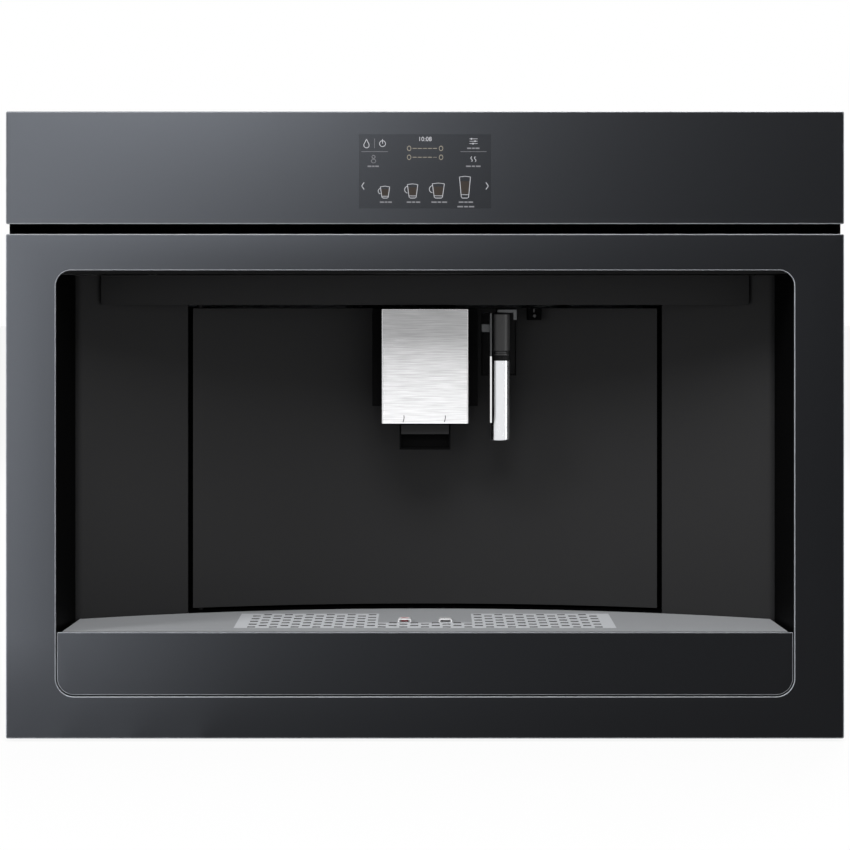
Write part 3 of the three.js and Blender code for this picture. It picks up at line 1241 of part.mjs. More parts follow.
/** The brewing chamber, with its nut on the lead screw and a shoe against the back plate. */
function infuser() {
  const z0 = CHAMBER_BOTTOM;
  const cup = turnedZ(CHAMBER_X, BREW_AXIS_Y, [
    [0, z0 - 18],
    [10, z0 - 18],
    [10, z0],
    [CHAMBER_RADIUS, z0 + 4],
    [CHAMBER_RADIUS, CHAMBER_MOUTH],
    [CHAMBER_BORE, CHAMBER_MOUTH],
    [CHAMBER_BORE, z0 + CHAMBER_FLOOR],
    [0, z0 + CHAMBER_FLOOR],
  ]);
  const nutZ = [z0 + 10, z0 + 34];
  const nut = rodZ(SCREW_X, BREW_AXIS_Y, SCREW_RADIUS + 6, nutZ);
  const arm = block([CHAMBER_X + CHAMBER_BORE + 2, SCREW_X], around(BREW_AXIS_Y, 7), nutZ);
  const shoeY = [BREW_AXIS_Y + CHAMBER_BORE + 2, BREW_BACK - BREW_BACK_PLATE - SEAT];
  const shoe = block(around(CHAMBER_X, 8), shoeY, [z0 + 6, z0 + 30]);
  const bore = rodZ(SCREW_X, BREW_AXIS_Y, SCREW_RADIUS + RUNNING, grown(nutZ, 1));
  return cut(join(cup, nut, arm, shoe), bore);
}

function leadScrew() {
  return turnedZ(SCREW_X, BREW_AXIS_Y, [
    [0, DECK_SEAT + 3 + SEAT],
    [JOURNAL_RADIUS, DECK_SEAT + 3 + SEAT],
    [JOURNAL_RADIUS, BREW_BASE_TOP + SEAT],
    [SCREW_RADIUS, BREW_BASE_TOP + SEAT],
    [SCREW_RADIUS, BREW_ARM_BOTTOM - SEAT],
    [JOURNAL_RADIUS, BREW_ARM_BOTTOM - SEAT],
    [JOURNAL_RADIUS, BREW_TOP],
    [0, BREW_TOP],
  ], 16);
}

function infuserMotor() {
  const z = BREW_TOP + SEAT;
  return turnedZ(SCREW_X, BREW_AXIS_Y, [
    [0, z],
    [INFUSER_MOTOR_RADIUS + 4, z],
    [INFUSER_MOTOR_RADIUS + 4, z + 8],
    [INFUSER_MOTOR_RADIUS, z + 8],
    [INFUSER_MOTOR_RADIUS, z + INFUSER_MOTOR_HEIGHT - 2],
    [INFUSER_MOTOR_RADIUS - 2, z + INFUSER_MOTOR_HEIGHT],
    [0, z + INFUSER_MOTOR_HEIGHT],
  ]);
}

/** An open bin with a finger lip, pulled out through the door opening. */
function groundsContainer() {
  const x = around(GROUNDS_X, GROUNDS_WIDTH / 2);
  const y = [INSIDE_FRONT + 3, INSIDE_FRONT + 3 + GROUNDS_DEPTH];
  const z = [DECK_SEAT, DECK_SEAT + GROUNDS_HEIGHT];
  const wall = GROUNDS_WALL;
  const bin = cut(block(x, y, z), block(grown(x, -wall), grown(y, -wall), [z[0] + wall, z[1] + 1]));
  const lip = block(around(GROUNDS_X, 35), [y[0] - 2.5, y[0] + 1], [z[1] - 12, z[1] - 9]);
  return join(bin, lip);
}

function brewingUnit() {
  return group(
    piece("infuser_frame", infuserFrame(), "castMetal"),
    piece("brew_piston", brewPiston(), "greyPlastic"),
    piece("infuser", infuser(), "greyPlastic"),
    piece("lead_screw", leadScrew(), "zincSheet"),
    piece("infuser_motor", infuserMotor(), "castMetal"),
    piece("grounds_container", groundsContainer(), "blackPlastic"),
  );
}

// ---------------------------------------------------------------- grinder and hopper

/** A cup for the burrs, with a sloping chute to the brewing chamber. */
function grinderHousing() {
  const shell = turnedZ(GRINDER_X, GRINDER_Y, [
    [BURR_SHAFT_RADIUS + 3, GRINDER_BOTTOM],
    [GRINDER_RADIUS, GRINDER_BOTTOM],
    [GRINDER_RADIUS, GRINDER_TOP],
    [GRINDER_BORE, GRINDER_TOP],
    [GRINDER_BORE, GRINDER_BOTTOM + GRINDER_FLOOR],
    [BURR_SHAFT_RADIUS + 3, GRINDER_BOTTOM + GRINDER_FLOOR],
    [BURR_SHAFT_RADIUS + 3, GRINDER_BOTTOM],
  ], 32);
  const high = BURR_BOTTOM + 2;
  const low = CHAMBER_MOUTH + CHUTE_MARGIN;
  const mouthY = BREW_AXIS_Y + CHAMBER_RADIUS + 3;
  const duct = (inset) => {
    const floor = [
      [mouthY - inset * 2, low + inset],
      [GRINDER_Y - 10, high + inset],
      [GRINDER_Y - 10, high + CHUTE_HEIGHT - inset],
      [mouthY - inset * 2, low + CHUTE_HEIGHT - inset],
    ];
    return prismX(floor, grown([CHUTE_X - CHUTE_HALF, CHUTE_X + CHUTE_HALF / 2], -inset));
  };
  const boreZ = [GRINDER_BOTTOM + GRINDER_FLOOR, GRINDER_TOP + 1];
  const bore = rodZ(GRINDER_X, GRINDER_Y, GRINDER_BORE, boreZ, 32);
  return cut(join(shell, cut(duct(0), bore)), duct(CHUTE_WALL));
}

/** The motor in its two-legged stand on the pan. */
function grinderMotor() {
  const z = [GRINDER_MOTOR_BOTTOM, GRINDER_MOTOR_BOTTOM + GRINDER_MOTOR_HEIGHT];
  const can = rodZ(GRINDER_X, GRINDER_Y, GRINDER_MOTOR_RADIUS, z, 32);
  const shaft = rodZ(GRINDER_X, GRINDER_Y, BURR_SHAFT_RADIUS, [z[1] - 1, BURR_BOTTOM + SHAFT_GRIP], 16);
  const legY = around(GRINDER_Y, STAND_HALF);
  const legX = [GRINDER_MOTOR_RADIUS - 2 * STAND_SHEET, GRINDER_MOTOR_RADIUS - STAND_SHEET];
  const leg = (side) => {
    const x = legX.map((u) => GRINDER_X + side * u).sort((a, b) => a - b);
    const foot = side > 0 ? [x[0], x[1] + STAND_FOOT] : [x[0] - STAND_FOOT, x[1]];
    return join(
      block(x, legY, [PAN_TOP + SEAT, z[0] + STAND_GRIP]),
      block(foot, legY, [PAN_TOP + SEAT, PAN_TOP + SEAT + 3]),
    );
  };
  return join(can, shaft, leg(1), leg(-1));
}

function burrTeeth(count, inner, outer, z) {
  return Array.from({ length: count }, (_, i) => {
    const tooth = new THREE.BoxGeometry(outer - inner, 2, z[1] - z[0]);
    tooth.translate((outer + inner) / 2, 0, (z[0] + z[1]) / 2);
    return solid(tooth.rotateZ((i / count) * 2 * Math.PI).translate(GRINDER_X, GRINDER_Y, 0));
  });
}

function lowerBurr() {
  const top = BURR_BOTTOM + BURR_HEIGHT;
  const bore = BURR_SHAFT_RADIUS + SEAT;
  const cone = turnedZ(GRINDER_X, GRINDER_Y, [
    [bore, BURR_BOTTOM],
    [BURR_RADIUS, BURR_BOTTOM],
    [BURR_RADIUS, BURR_BOTTOM + 5],
    [BURR_RADIUS - 14, top - 1],
    [bore, top - 1],
    [bore, BURR_BOTTOM],
  ]);
  return join(cone, ...burrTeeth(8, bore + 6, BURR_RADIUS - 15, [top - 2, top]));
}

function upperBurr() {
  const top = UPPER_BURR_BOTTOM + UPPER_BURR_HEIGHT;
  return turnedZ(GRINDER_X, GRINDER_Y, [
    [20, UPPER_BURR_BOTTOM],
    [GRINDER_BORE - 0.6, UPPER_BURR_BOTTOM],
    [GRINDER_BORE - 0.6, top],
    [24, top],
    [20, UPPER_BURR_BOTTOM],
  ], 32);
}

/** The toothed ring over the grinder, whose skirt carries the upper burr. */
function grindDial() {
  const top = DIAL_BOTTOM + DIAL_HEIGHT;
  const skirtBottom = UPPER_BURR_BOTTOM + UPPER_BURR_HEIGHT + SEAT;
  const ring = turnedZ(GRINDER_X, GRINDER_Y, [
    [GRINDER_BORE - 6, skirtBottom],
    [GRINDER_BORE - 0.6, skirtBottom],
    [GRINDER_BORE - 0.6, DIAL_BOTTOM],
    [GRINDER_RADIUS - 2, DIAL_BOTTOM],
    [GRINDER_RADIUS - 2, top],
    [HOPPER_NECK_RADIUS + 2, top],
    [HOPPER_NECK_RADIUS + 2, top - 4],
    [GRINDER_BORE - 6, top - 8],
    [GRINDER_BORE - 6, skirtBottom],
  ], 32);
  return join(ring, ...burrTeeth(16, GRINDER_RADIUS - 3, GRINDER_RADIUS, [DIAL_BOTTOM + 2, top - 2]));
}

function beanHopper() {
  const bendZ = HOPPER_TOP - HOPPER_STRAIGHT;
  const neck = HOPPER_NECK_RADIUS;
  const neckBottom = DIAL_BOTTOM + DIAL_HEIGHT - 6;
  const vessel = (inset, lift) => {
    const side = neck - inset;
    const lower = [GRINDER_X - side, GRINDER_X + side, GRINDER_Y - side, GRINDER_Y + side];
    const upper = [...grown(HOPPER.x, -inset), ...grown(HOPPER.y, -inset)];
    return join(
      taperedBlock(lower, upper, HOPPER_BOTTOM, bendZ),
      block(upper.slice(0, 2), upper.slice(2), [bendZ - 0.01, HOPPER_TOP + lift]),
      rodZ(GRINDER_X, GRINDER_Y, side, [neckBottom - lift, HOPPER_BOTTOM + 1]),
    );
  };
  const rimZ = [HOPPER_TOP - HOPPER_WALL, HOPPER_TOP];
  const rim = block(grown(HOPPER.x, HOPPER_RIM), grown(HOPPER.y, HOPPER_RIM), rimZ);
  return cut(join(vessel(0, 0), rim), vessel(HOPPER_WALL, 1));
}

function grinder() {
  return group(
    piece("bean_hopper", beanHopper(), "clearPlastic"),
    piece("grind_dial", grindDial(), "greyPlastic"),
    piece("upper_burr", upperBurr(), "castMetal"),
    piece("lower_burr", lowerBurr(), "castMetal"),
    piece("grinder_housing", grinderHousing(), "blackPlastic"),
    piece("grinder_motor", grinderMotor(), "castMetal"),
  );
}

// ---------------------------------------------------------------- water and electrics

/** An open tank that fills its gap in the casing side, with a finger recess outside. */
function waterTank() {
  const wall = TANK_WALL;
  const inner = block(
    [TANK.x[0] + wall, TANK.x[1] - TANK_GRIP_WALL],
    grown(TANK.y, -wall),
    [TANK.z[0] + wall, TANK.z[1] + 1],
  );
  const middle = (TANK.y[0] + TANK.y[1]) / 2;
  const gripZ = TANK.z[1] - TANK_GRIP_BELOW_RIM;
  const grip = block(
    [TANK.x[1] - TANK_GRIP_WALL + wall, TANK.x[1] + 1],
    around(middle, TANK_GRIP_LENGTH / 2),
    around(gripZ, TANK_GRIP_HEIGHT / 2),
  );
  return cut(block(TANK.x, TANK.y, TANK.z), inner, grip);
}

const BOILER_X = -(CASING_INNER_HALF - BOILER_SIDE_GAP - BOILER_RADIUS);
const COFFEE_BOILER_Y = INSIDE_FRONT + 6 + BOILER_RADIUS;
const STEAM_BOILER_Y = COFFEE_BOILER_Y + 2 * BOILER_RADIUS + BOILER_GAP;

/** An insulated boiler on a foot ring, with a dome and one fitting. */
function boiler(y, height) {
  const z = PAN_TOP + SEAT;
  const body = z + BOILER_FOOT;
  const top = body + height;
  const shoulder = BOILER_RADIUS - BOILER_SHOULDER;
  const dome = top + BOILER_DOME;
  return turnedZ(BOILER_X, y, [
    [0, z],
    [shoulder, z],
    [shoulder, body],
    [BOILER_RADIUS, body],
    [BOILER_RADIUS, top],
    [shoulder, dome - 3],
    [BOILER_FITTING_RADIUS, dome],
    [BOILER_FITTING_RADIUS, dome + BOILER_FITTING],
    [0, dome + BOILER_FITTING],
  ]);
}

/** A vibrating pump in its rubber cradle, with an inlet and an outlet stub. */
function pump() {
  const y0 = STEAM_BOILER_Y + BOILER_RADIUS + BOILER_GAP;
  const span = [y0, y0 + PUMP_LENGTH];
  const z = PAN_TOP + SEAT + PUMP_RADIUS + PUMP_CRADLE;
  const body = rodY(BOILER_X, z, PUMP_RADIUS, span);
  const stubs = rodY(BOILER_X, z, PUMP_STUB_RADIUS, grown(span, PUMP_STUB), 16);
  const cradleY = around(y0 + PUMP_LENGTH / 2, PUMP_RADIUS);
  const cradle = block(around(BOILER_X, PUMP_RADIUS - 2), cradleY, [PAN_TOP + SEAT, z]);
  return join(body, stubs, cradle);
}

/** The power board on standoffs against the right casing side, over the tank. */
function powerBoard() {
  const outer = CASING_INNER_HALF - SEAT;
  const x = [outer - POWER_BOARD_STANDOFF - BOARD, outer - POWER_BOARD_STANDOFF];
  const z0 = TANK.z[1] + POWER_BOARD_OVER_TANK;
  const z = [z0, z0 + POWER_BOARD_HEIGHT];
  const y = around((TANK.y[0] + TANK.y[1]) / 2, POWER_BOARD_LENGTH / 2);
  const standoffs = grown(y, -POWER_BOARD_STANDOFF).flatMap((py) =>
    grown(z, -POWER_BOARD_STANDOFF).map((pz) =>
      rodX(py, pz, STANDOFF_RADIUS, [x[1] - 0.5, outer], 12),
    ),
  );
  const components = Object.values(BOARD_COMPONENTS).map(([along, up, length, height, reach]) => {
    const corner = { y: y[0] + along, z: z[0] + up };
    return block(
      [x[0] - reach, x[0] + 0.5],
      [corner.y, corner.y + length],
      [corner.z, corner.z + height],
    );
  });
  return join(block(x, y, z), ...standoffs, ...components);
}

/** The inlet socket and the switch's well, in one flanged body. */
function mainsInlet() {
  const middle = (INLET.z[0] + INLET.z[1]) / 2;
  const inner = BACK_OUTER - INLET_DEPTH;
  const lip = [BACK_OUTER + SEAT, OVERALL_DEPTH];
  const body = block(INLET.x, [inner, BACK_OUTER + SEAT + 0.5], INLET.z);
  const flange = block(grown(INLET.x, INLET_LIP), lip, grown(INLET.z, INLET_LIP));
  const socketX = INLET.x[0] + INLET_LIP + SOCKET_WIDTH / 2;
  const socket = block(
    around(socketX, SOCKET_WIDTH / 2),
    [inner + INLET_LIP, OVERALL_DEPTH + 1],
    around(middle, SOCKET_HEIGHT / 2),
  );
  const well = block(
    around(SWITCH.x, SWITCH.half + SEAT),
    [OVERALL_DEPTH - SWITCH.depth, OVERALL_DEPTH + 1],
    around(middle, SWITCH.half + 3),
  );
  const pins = [-1, 0, 1].map((place) => {
    const rise = place === 0 ? 3 : -2; // the earth pin stands higher
    const pinY = [inner + INLET_LIP - 1, OVERALL_DEPTH - 6];
    return block(around(socketX + place * PIN_PITCH, 1), pinY, around(middle + rise, 2));
  });
  return join(cut(join(body, flange), socket, well), ...pins);
}

/** A rocker that tilts about X. */
function mainSwitch() {
  const middle = (INLET.z[0] + INLET.z[1]) / 2;
  const axis = OVERALL_DEPTH - 8;
  const profile = [
    [axis - 3.5, middle - 5],
    [axis - 0.5, middle - SWITCH.half],
    [axis + 1.5, middle - SWITCH.half],
    [axis + 3.5, middle],
    [axis + 7.5, middle + SWITCH.half],
    [axis, middle + SWITCH.half],
    [axis - 3.5, middle + 5],
  ];
  return prismX(profile, around(SWITCH.x, SWITCH.half));
}

function waterAndElectrics() {
  return group(
    piece("water_tank", waterTank(), "clearPlastic"),
    piece("coffee_boiler", boiler(COFFEE_BOILER_Y, COFFEE_BOILER_HEIGHT), "brass"),
    piece("steam_boiler", boiler(STEAM_BOILER_Y, STEAM_BOILER_HEIGHT), "castMetal"),
    piece("pump", pump(), "brass"),
    piece("power_board", powerBoard(), "boardGreen"),
    piece("mains_inlet", mainsInlet(), "blackPlastic"),
    piece("main_switch", mainSwitch(), "redPlastic"),
  );
}

// ---------------------------------------------------------------- the machine

const machine = group(
  baseAndRunners(),
  casing(),
  frontPanels(),
  niche(),
  doorAndDispenser(),
  dripTray(),
  brewingUnit(),
  grinder(),
  waterAndElectrics(),
);
machine.position.y = -OVERALL_DEPTH / 2;

const root = new THREE.Group();
root.add(machine);

export default root;
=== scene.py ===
"""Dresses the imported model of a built-in coffee machine and lights it as in its photograph.

Lengths are millimetres, and places are (x, depth, z), where depth is counted backwards from
the front glass. Mesh code turns them into metres in the frame's own axes. Only the studio's
places and sizes are in metres, in those axes.
"""

import json
import logging
import math
from collections.abc import Callable, Iterable, Sequence
from dataclasses import dataclass, field
from enum import Enum
from typing import ClassVar

import bmesh
import bpy
from mathutils import Matrix, Vector

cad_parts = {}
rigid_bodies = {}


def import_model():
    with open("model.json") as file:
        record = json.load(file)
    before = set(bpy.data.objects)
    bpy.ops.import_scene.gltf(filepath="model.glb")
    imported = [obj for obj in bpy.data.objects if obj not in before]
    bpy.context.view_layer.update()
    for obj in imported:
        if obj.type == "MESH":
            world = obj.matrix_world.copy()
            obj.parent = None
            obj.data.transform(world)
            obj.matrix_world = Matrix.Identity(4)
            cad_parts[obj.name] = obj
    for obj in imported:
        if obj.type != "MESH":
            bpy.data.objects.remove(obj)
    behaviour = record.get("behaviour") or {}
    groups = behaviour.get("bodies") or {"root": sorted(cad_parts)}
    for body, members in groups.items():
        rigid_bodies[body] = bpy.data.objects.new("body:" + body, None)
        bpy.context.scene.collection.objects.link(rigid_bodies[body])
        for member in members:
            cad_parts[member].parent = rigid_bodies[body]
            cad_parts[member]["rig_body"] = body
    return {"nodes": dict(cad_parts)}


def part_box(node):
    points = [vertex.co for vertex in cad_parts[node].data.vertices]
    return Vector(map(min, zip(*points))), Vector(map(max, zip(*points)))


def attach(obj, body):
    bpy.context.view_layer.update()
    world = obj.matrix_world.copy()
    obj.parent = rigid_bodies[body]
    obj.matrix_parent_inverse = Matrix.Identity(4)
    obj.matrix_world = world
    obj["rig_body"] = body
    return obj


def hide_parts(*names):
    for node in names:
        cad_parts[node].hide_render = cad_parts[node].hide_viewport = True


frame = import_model()

log = logging.getLogger("coffee_machine")

MM = 0.001
FRONT_Y = -0.2375  # the front glass, in metres, in the frame's Y
SEED = 7
SMOOTH_ANGLE = math.radians(32)  # edges sharper than this stay sharp
BEVEL_ANGLE = math.radians(40)  # edges sharper than this are bevelled
FLAT_ANGLE = math.radians(0.2)  # faces this close to one plane become one
MERGE = 1e-5  # metres between corners that become one
SCREW_STAND = 0.6  # how far a screw's head stands off its sheet

Socket = bpy.types.NodeSocket
Point2 = tuple[float, float]
Loop = list[Point2]
Mark = tuple[Loop, list[Loop]]  # an outline and its holes
Span = tuple[float, float]
Place = tuple[float, float, float]
Colour = tuple[float, float, float]
Row = tuple[float, ...]


# ---- node trees


class Wiring:
    """Adds nodes to a tree and joins them, so that a tree reads as a list of steps."""

    def __init__(self, tree: bpy.types.NodeTree) -> None:
        """Wraps a tree.

        Args:
            tree: The node tree to add to.
        """
        self.tree = tree

    def node(self, kind: str, inputs: dict | None = None, **settings: object) -> bpy.types.Node:
        """Adds one node.

        Args:
            kind: The node's type name.
            inputs: Socket name or number to a value, or to an output socket to join.
            settings: Properties of the node itself.

        Returns:
            The new node.
        """
        made = self.tree.nodes.new(kind)
        for name, value in settings.items():
            setattr(made, name, value)
        for socket, value in (inputs or {}).items():
            self.give(made.inputs[socket], value)
        return made

    def give(self, target: Socket, value: object) -> None:
        """Joins an input socket to an output socket, or sets its plain value."""
        if isinstance(value, Socket):
            self.tree.links.new(value, target)
        else:
            target.default_value = value

    def out(self, kind: str, inputs: dict | None = None, **settings: object) -> Socket:
        """Adds one node, as node() does, and returns its first output."""
        return self.node(kind, inputs, **settings).outputs[0]

    def math(self, operation: str, *values: object, clamp: bool = False) -> Socket:
        """Adds a Math node and returns its output.

        Args:
            operation: The node's operation.
            values: Numbers or output sockets, in order.
            clamp: Whether the result is held between 0 and 1.

        Returns:
            The output socket.
        """
        inputs = dict(enumerate(values))
        return self.out("ShaderNodeMath", inputs, operation=operation, use_clamp=clamp)

    def ramp(self, value: Socket, low: float, high: float) -> Socket:
        """Maps a value from 0 to 1 onto low to high and returns the output."""
        return self.out("ShaderNodeMapRange", {0: value, 3: low, 4: high})

    def mix(self, factor: object, first: object, second: object) -> Socket:
        """Mixes two colours and returns the output.

        Args:
            factor: Share of the second colour, a number or a socket.
            first: Colour or socket.
            second: Colour or socket.

        Returns:
            The mixed colour's socket.
        """
        made = self.node("ShaderNodeMix", data_type="RGBA")
        colours = [s for s in made.inputs if s.type == "RGBA"]
        for target, value in ((made.inputs[0], factor), (colours[0], first), (colours[1], second)):
            self.give(target, value)
        return next(s for s in made.outputs if s.type == "RGBA")


# ---- finishes


class Grain(Enum):
    """How a surface is textured, as the scale of its noise along X, Y and Z, per metre."""

    BRUSHED_ACROSS = (45.0, 1100.0, 1100.0)
    BRUSHED_UP = (4500.0, 4500.0, 25.0)
    BLASTED = (3800.0, 3800.0, 3800.0)
    MOULDED = (1500.0, 1500.0, 1500.0)
    CAST = (520.0, 520.0, 520.0)
    LACQUER = (700.0, 700.0, 700.0)


def opaque(colour: Colour, share: float = 1.0) -> tuple[float, float, float, float]:
    """Returns a colour scaled by share, with alpha 1."""
    return (colour[0] * share, colour[1] * share, colour[2] * share, 1.0)


@dataclass(frozen=True)
class Finish:
    """A surface finish: constants on the shader's sockets, and grain over the surface."""

    name: str
    slot: str
    colour: Colour
    roughness: float
    grain: Grain = Grain.MOULDED
    metallic: float = 0.0
    specular: float = 0.5
    anisotropic: float = 0.0
    transmission: float = 0.0
    glow: float = 0.0
    variation: float = 0.1  # share by which the grain changes the colour
    relief: float = 0.05  # bump strength
    wear: float = 0.0  # share by which cloudy patches lighten the colour
    patch_scale: ClassVar[float] = 14.0  # of the cloudy patches, per metre
    patch_light: ClassVar[float] = 1.6  # their colour as a share of the finish's own
    spread: ClassVar[float] = 0.14  # share by which the grain changes the roughness
    grain_depth: ClassVar[float] = 0.0004  # metres

    def material(self) -> bpy.types.Material:
        """Returns the finish's material, made on first use."""
        found = bpy.data.materials.get(f"{self.name}_finish")
        return found if found else self._make()

    def _make(self) -> bpy.types.Material:
        """Builds the material's nodes and returns it."""
        made = bpy.data.materials.new(f"{self.name}_finish")
        made.use_nodes = True
        made.diffuse_color = opaque(self.colour)
        tree = made.node_tree
        tree.nodes.clear()
        wires = Wiring(tree)
        place = wires.node("ShaderNodeTexCoord").outputs["Object"]
        stretched = wires.out(
            "ShaderNodeMapping", {"Vector": place, "Scale": Vector(self.grain.value)}
        )
        fine = wires.out("ShaderNodeTexNoise", {"Vector": stretched, "Scale": 1.0, "Detail": 3.0})
        broad = wires.out(
            "ShaderNodeTexNoise", {"Vector": place, "Scale": self.patch_scale, "Detail": 2.0}
        )
        shader = self._shader(wires)
        tone = self._tone(wires, place, fine, broad)
        tree.links.new(tone, shader.inputs["Base Color"])
        low, high = self.roughness * (1 - self.spread), self.roughness * (1 + self.spread)
        tree.links.new(wires.ramp(fine, low, min(1.0, high)), shader.inputs["Roughness"])
        bump = wires.out(
            "ShaderNodeBump",
            {"Strength": self.relief, "Distance": self.grain_depth, "Height": fine},
        )
        tree.links.new(bump, shader.inputs["Normal"])
        wires.node("ShaderNodeOutputMaterial", {0: shader.outputs[0]})
        return made

    def _shader(self, wires: Wiring) -> bpy.types.Node:
        """Adds the shader with the finish's constants on its own sockets and returns it."""
        return wires.node(
            "ShaderNodeBsdfPrincipled",
            {
                "Metallic": self.metallic,
                "Specular IOR Level": self.specular,
                "Anisotropic": self.anisotropic,
                "Anisotropic Rotation": 0.25 if self.anisotropic else 0.0,
                "Transmission Weight": self.transmission,
                "Emission Color": opaque(self.colour),
                "Emission Strength": self.glow,
            },
        )

    def _tone(self, wires: Wiring, place: Socket, fine: Socket, broad: Socket) -> Socket:
        """Builds the colour from the grain and the cloudy patches.

        Args:
            wires: The material's wiring.
            place: Object coordinates.
            fine: The grain, 0 to 1.
            broad: Patches, 0 to 1.

        Returns:
            The colour's socket.
        """
        grained = wires.mix(
            fine,
            opaque(self.colour, 1 - self.variation),
            opaque(self.colour, 1 + self.variation),
        )
        patches = wires.ramp(broad, 0.0, self.wear)
        return wires.mix(patches, grained, opaque(self.colour, self.patch_light))


@dataclass(frozen=True)
class GrateFinish(Finish):
    """The cup tray's blasted metal, with the grate's field painted lighter than the rest as a
    highlight of its lit slot rims.
    """

    field_highlight_share: float = 1.8
    half_width: float = 138.0
    depth_span: Span = (25.0, 113.0)
    middle_half_width: float = 34.5
    middle_from: float = 57.0

    def _tone(self, wires: Wiring, place: Socket, fine: Socket, broad: Socket) -> Socket:
        """Builds the colour, with a painted highlight that lightens the grate's field. Args and
        Returns as in Finish.
        """
        plain = super()._tone(wires, place, fine, broad)
        axes = wires.node("ShaderNodeSeparateXYZ", {0: place})
        across = wires.math("ABSOLUTE", axes.outputs[0])
        front, back = (FRONT_Y + d * MM for d in self.depth_span)
        inside = wires.math("LESS_THAN", across, self.half_width * MM)
        inside = wires.math("MULTIPLY", inside, wires.math("GREATER_THAN", axes.outputs[1], front))
        inside = wires.math("MULTIPLY", inside, wires.math("LESS_THAN", axes.outputs[1], back))
        middle = wires.math(
            "MULTIPLY",
            wires.math("LESS_THAN", across, self.middle_half_width * MM),
            wires.math("GREATER_THAN", axes.outputs[1], FRONT_Y + self.middle_from * MM),
        )
        share = wires.math("SUBTRACT", inside, middle, clamp=True)
        return wires.mix(share, plain, opaque(self.colour, self.field_highlight_share))


@dataclass(frozen=True)
class SpangledFinish(Finish):
    """Hot-dip zinc, whose crystals show as patches of slightly different grey."""

    crystals: float = 85.0  # per metre
    contrast: float = 0.2

    def _tone(self, wires: Wiring, place: Socket, fine: Socket, broad: Socket) -> Socket:
        """Builds the colour from crystals over the plain tone. Args and Returns as in Finish."""
        plain = super()._tone(wires, place, fine, broad)
        cells = wires.node(
            "ShaderNodeTexVoronoi", {"Vector": place, "Scale": self.crystals}
        ).outputs["Color"]
        grey = wires.out("ShaderNodeSeparateColor", {0: cells})
        share = wires.math("MULTIPLY", grey, 0.5)
        return wires.mix(share, plain, opaque(self.colour, 1 - self.contrast))


def lit_symbol(name: str, colour: Colour, glow: float, variation: float = 0.04) -> Finish:
    """Returns the finish of a symbol on the display, which glows in its own colour."""
    return Finish(
        name, "display", colour, 0.5, Grain.BLASTED, specular=0.1,
        glow=glow, variation=variation, relief=0.0,
    )


GLASS = Finish(
    "dark_satin_glass", "dark_glass", (0.0021, 0.0023, 0.0029), 0.262, Grain.BLASTED,
    specular=0.085, variation=0.03, relief=0.0,
)
# Painted highlight: the same glass, lighter, on chamfers that slant towards the front.
GLASS_HIGHLIGHT = Finish(
    "glass_chamfer_painted_highlight", "dark_glass", (0.15, 0.155, 0.165), 0.42, Grain.LACQUER,
    specular=0.3, variation=0.04, relief=0.0,
)
DISPLAY = Finish(
    "display_window", "display", (0.0015, 0.0016, 0.0021), 0.26, Grain.BLASTED,
    specular=0.068, variation=0.02, relief=0.0,
)
# Painted shade: near black, for gaps, seams and openings where there is only shade.
SHADE_BLACK = Finish(
    "painted_shade_black", "matte_black", (0.0007, 0.0007, 0.0008), 0.8,
    specular=0.01, variation=0.2, relief=0.1,
)
SYMBOL = lit_symbol("lit_symbol", (0.36, 0.36, 0.38), 0.55)
FAINT_SYMBOL = lit_symbol("faint_symbol", (0.15, 0.15, 0.16), 0.5)
WARM_SYMBOL = lit_symbol("warm_symbol", (0.20, 0.18, 0.145), 0.5)
COFFEE_SYMBOL = lit_symbol("coffee_symbol", (0.027, 0.022, 0.019), 0.6, 0.1)
BLACK = Finish(
    "black_moulding", "black_plastic", (0.012, 0.012, 0.013), 0.46,
    specular=0.35, variation=0.15, relief=0.12, wear=0.2,
)
MATTE = Finish(
    "matte_black_moulding", "matte_black", (0.0105, 0.0105, 0.0110), 0.55,
    specular=0.09, variation=0.15, relief=0.1, wear=0.2,
)
# Near black: the colour of some black parts, and painted shade on the niche walls' sideways faces.
BLACK_AND_SHADE = Finish(
    "niche_wall", "matte_black", (0.0012, 0.0012, 0.0013), 0.6, Grain.LACQUER,
    specular=0.03, relief=0.04, wear=0.1,
)
DOOR = Finish(
    "door_lacquer", "door_black", (0.0170, 0.0170, 0.0176), 0.44, Grain.LACQUER,
    specular=0.15, variation=0.06, relief=0.03, wear=0.1,
)
STEEL = Finish(
    "brushed_steel", "brushed_steel", (0.42, 0.42, 0.425), 0.33, Grain.BRUSHED_ACROSS,
    metallic=1.0, anisotropic=0.92, variation=0.38, relief=0.25,
)
# Painted highlight: brighter steel for faces that catch the light, on the cover's folds and the
# strip by the tube.
STEEL_HIGHLIGHT = Finish(
    "steel_painted_highlight", "brushed_steel", (0.86, 0.86, 0.87), 0.2, Grain.BRUSHED_ACROSS,
    metallic=1.0, variation=0.03, relief=0.02,
)
TUBE_CHROME = Finish(
    "satin_chrome", "chrome", (0.80, 0.81, 0.83), 0.22, Grain.BLASTED,
    metallic=1.0, variation=0.02, relief=0.0,
)
SOFT_BLACK = Finish(
    "soft_black_moulding", "black_plastic", (0.022, 0.022, 0.023), 0.34, relief=0.06
)
PLATE = GrateFinish(
    "tray_metal", "tray_plate", (0.36, 0.37, 0.385), 0.5, Grain.BLASTED,
    variation=0.05, relief=0.1, wear=0.08,
)
HOOD = Finish(
    "polished_hood", "tray_plate", (0.86, 0.86, 0.87), 0.3, Grain.BLASTED,
    metallic=0.35, variation=0.02, relief=0.02,
)
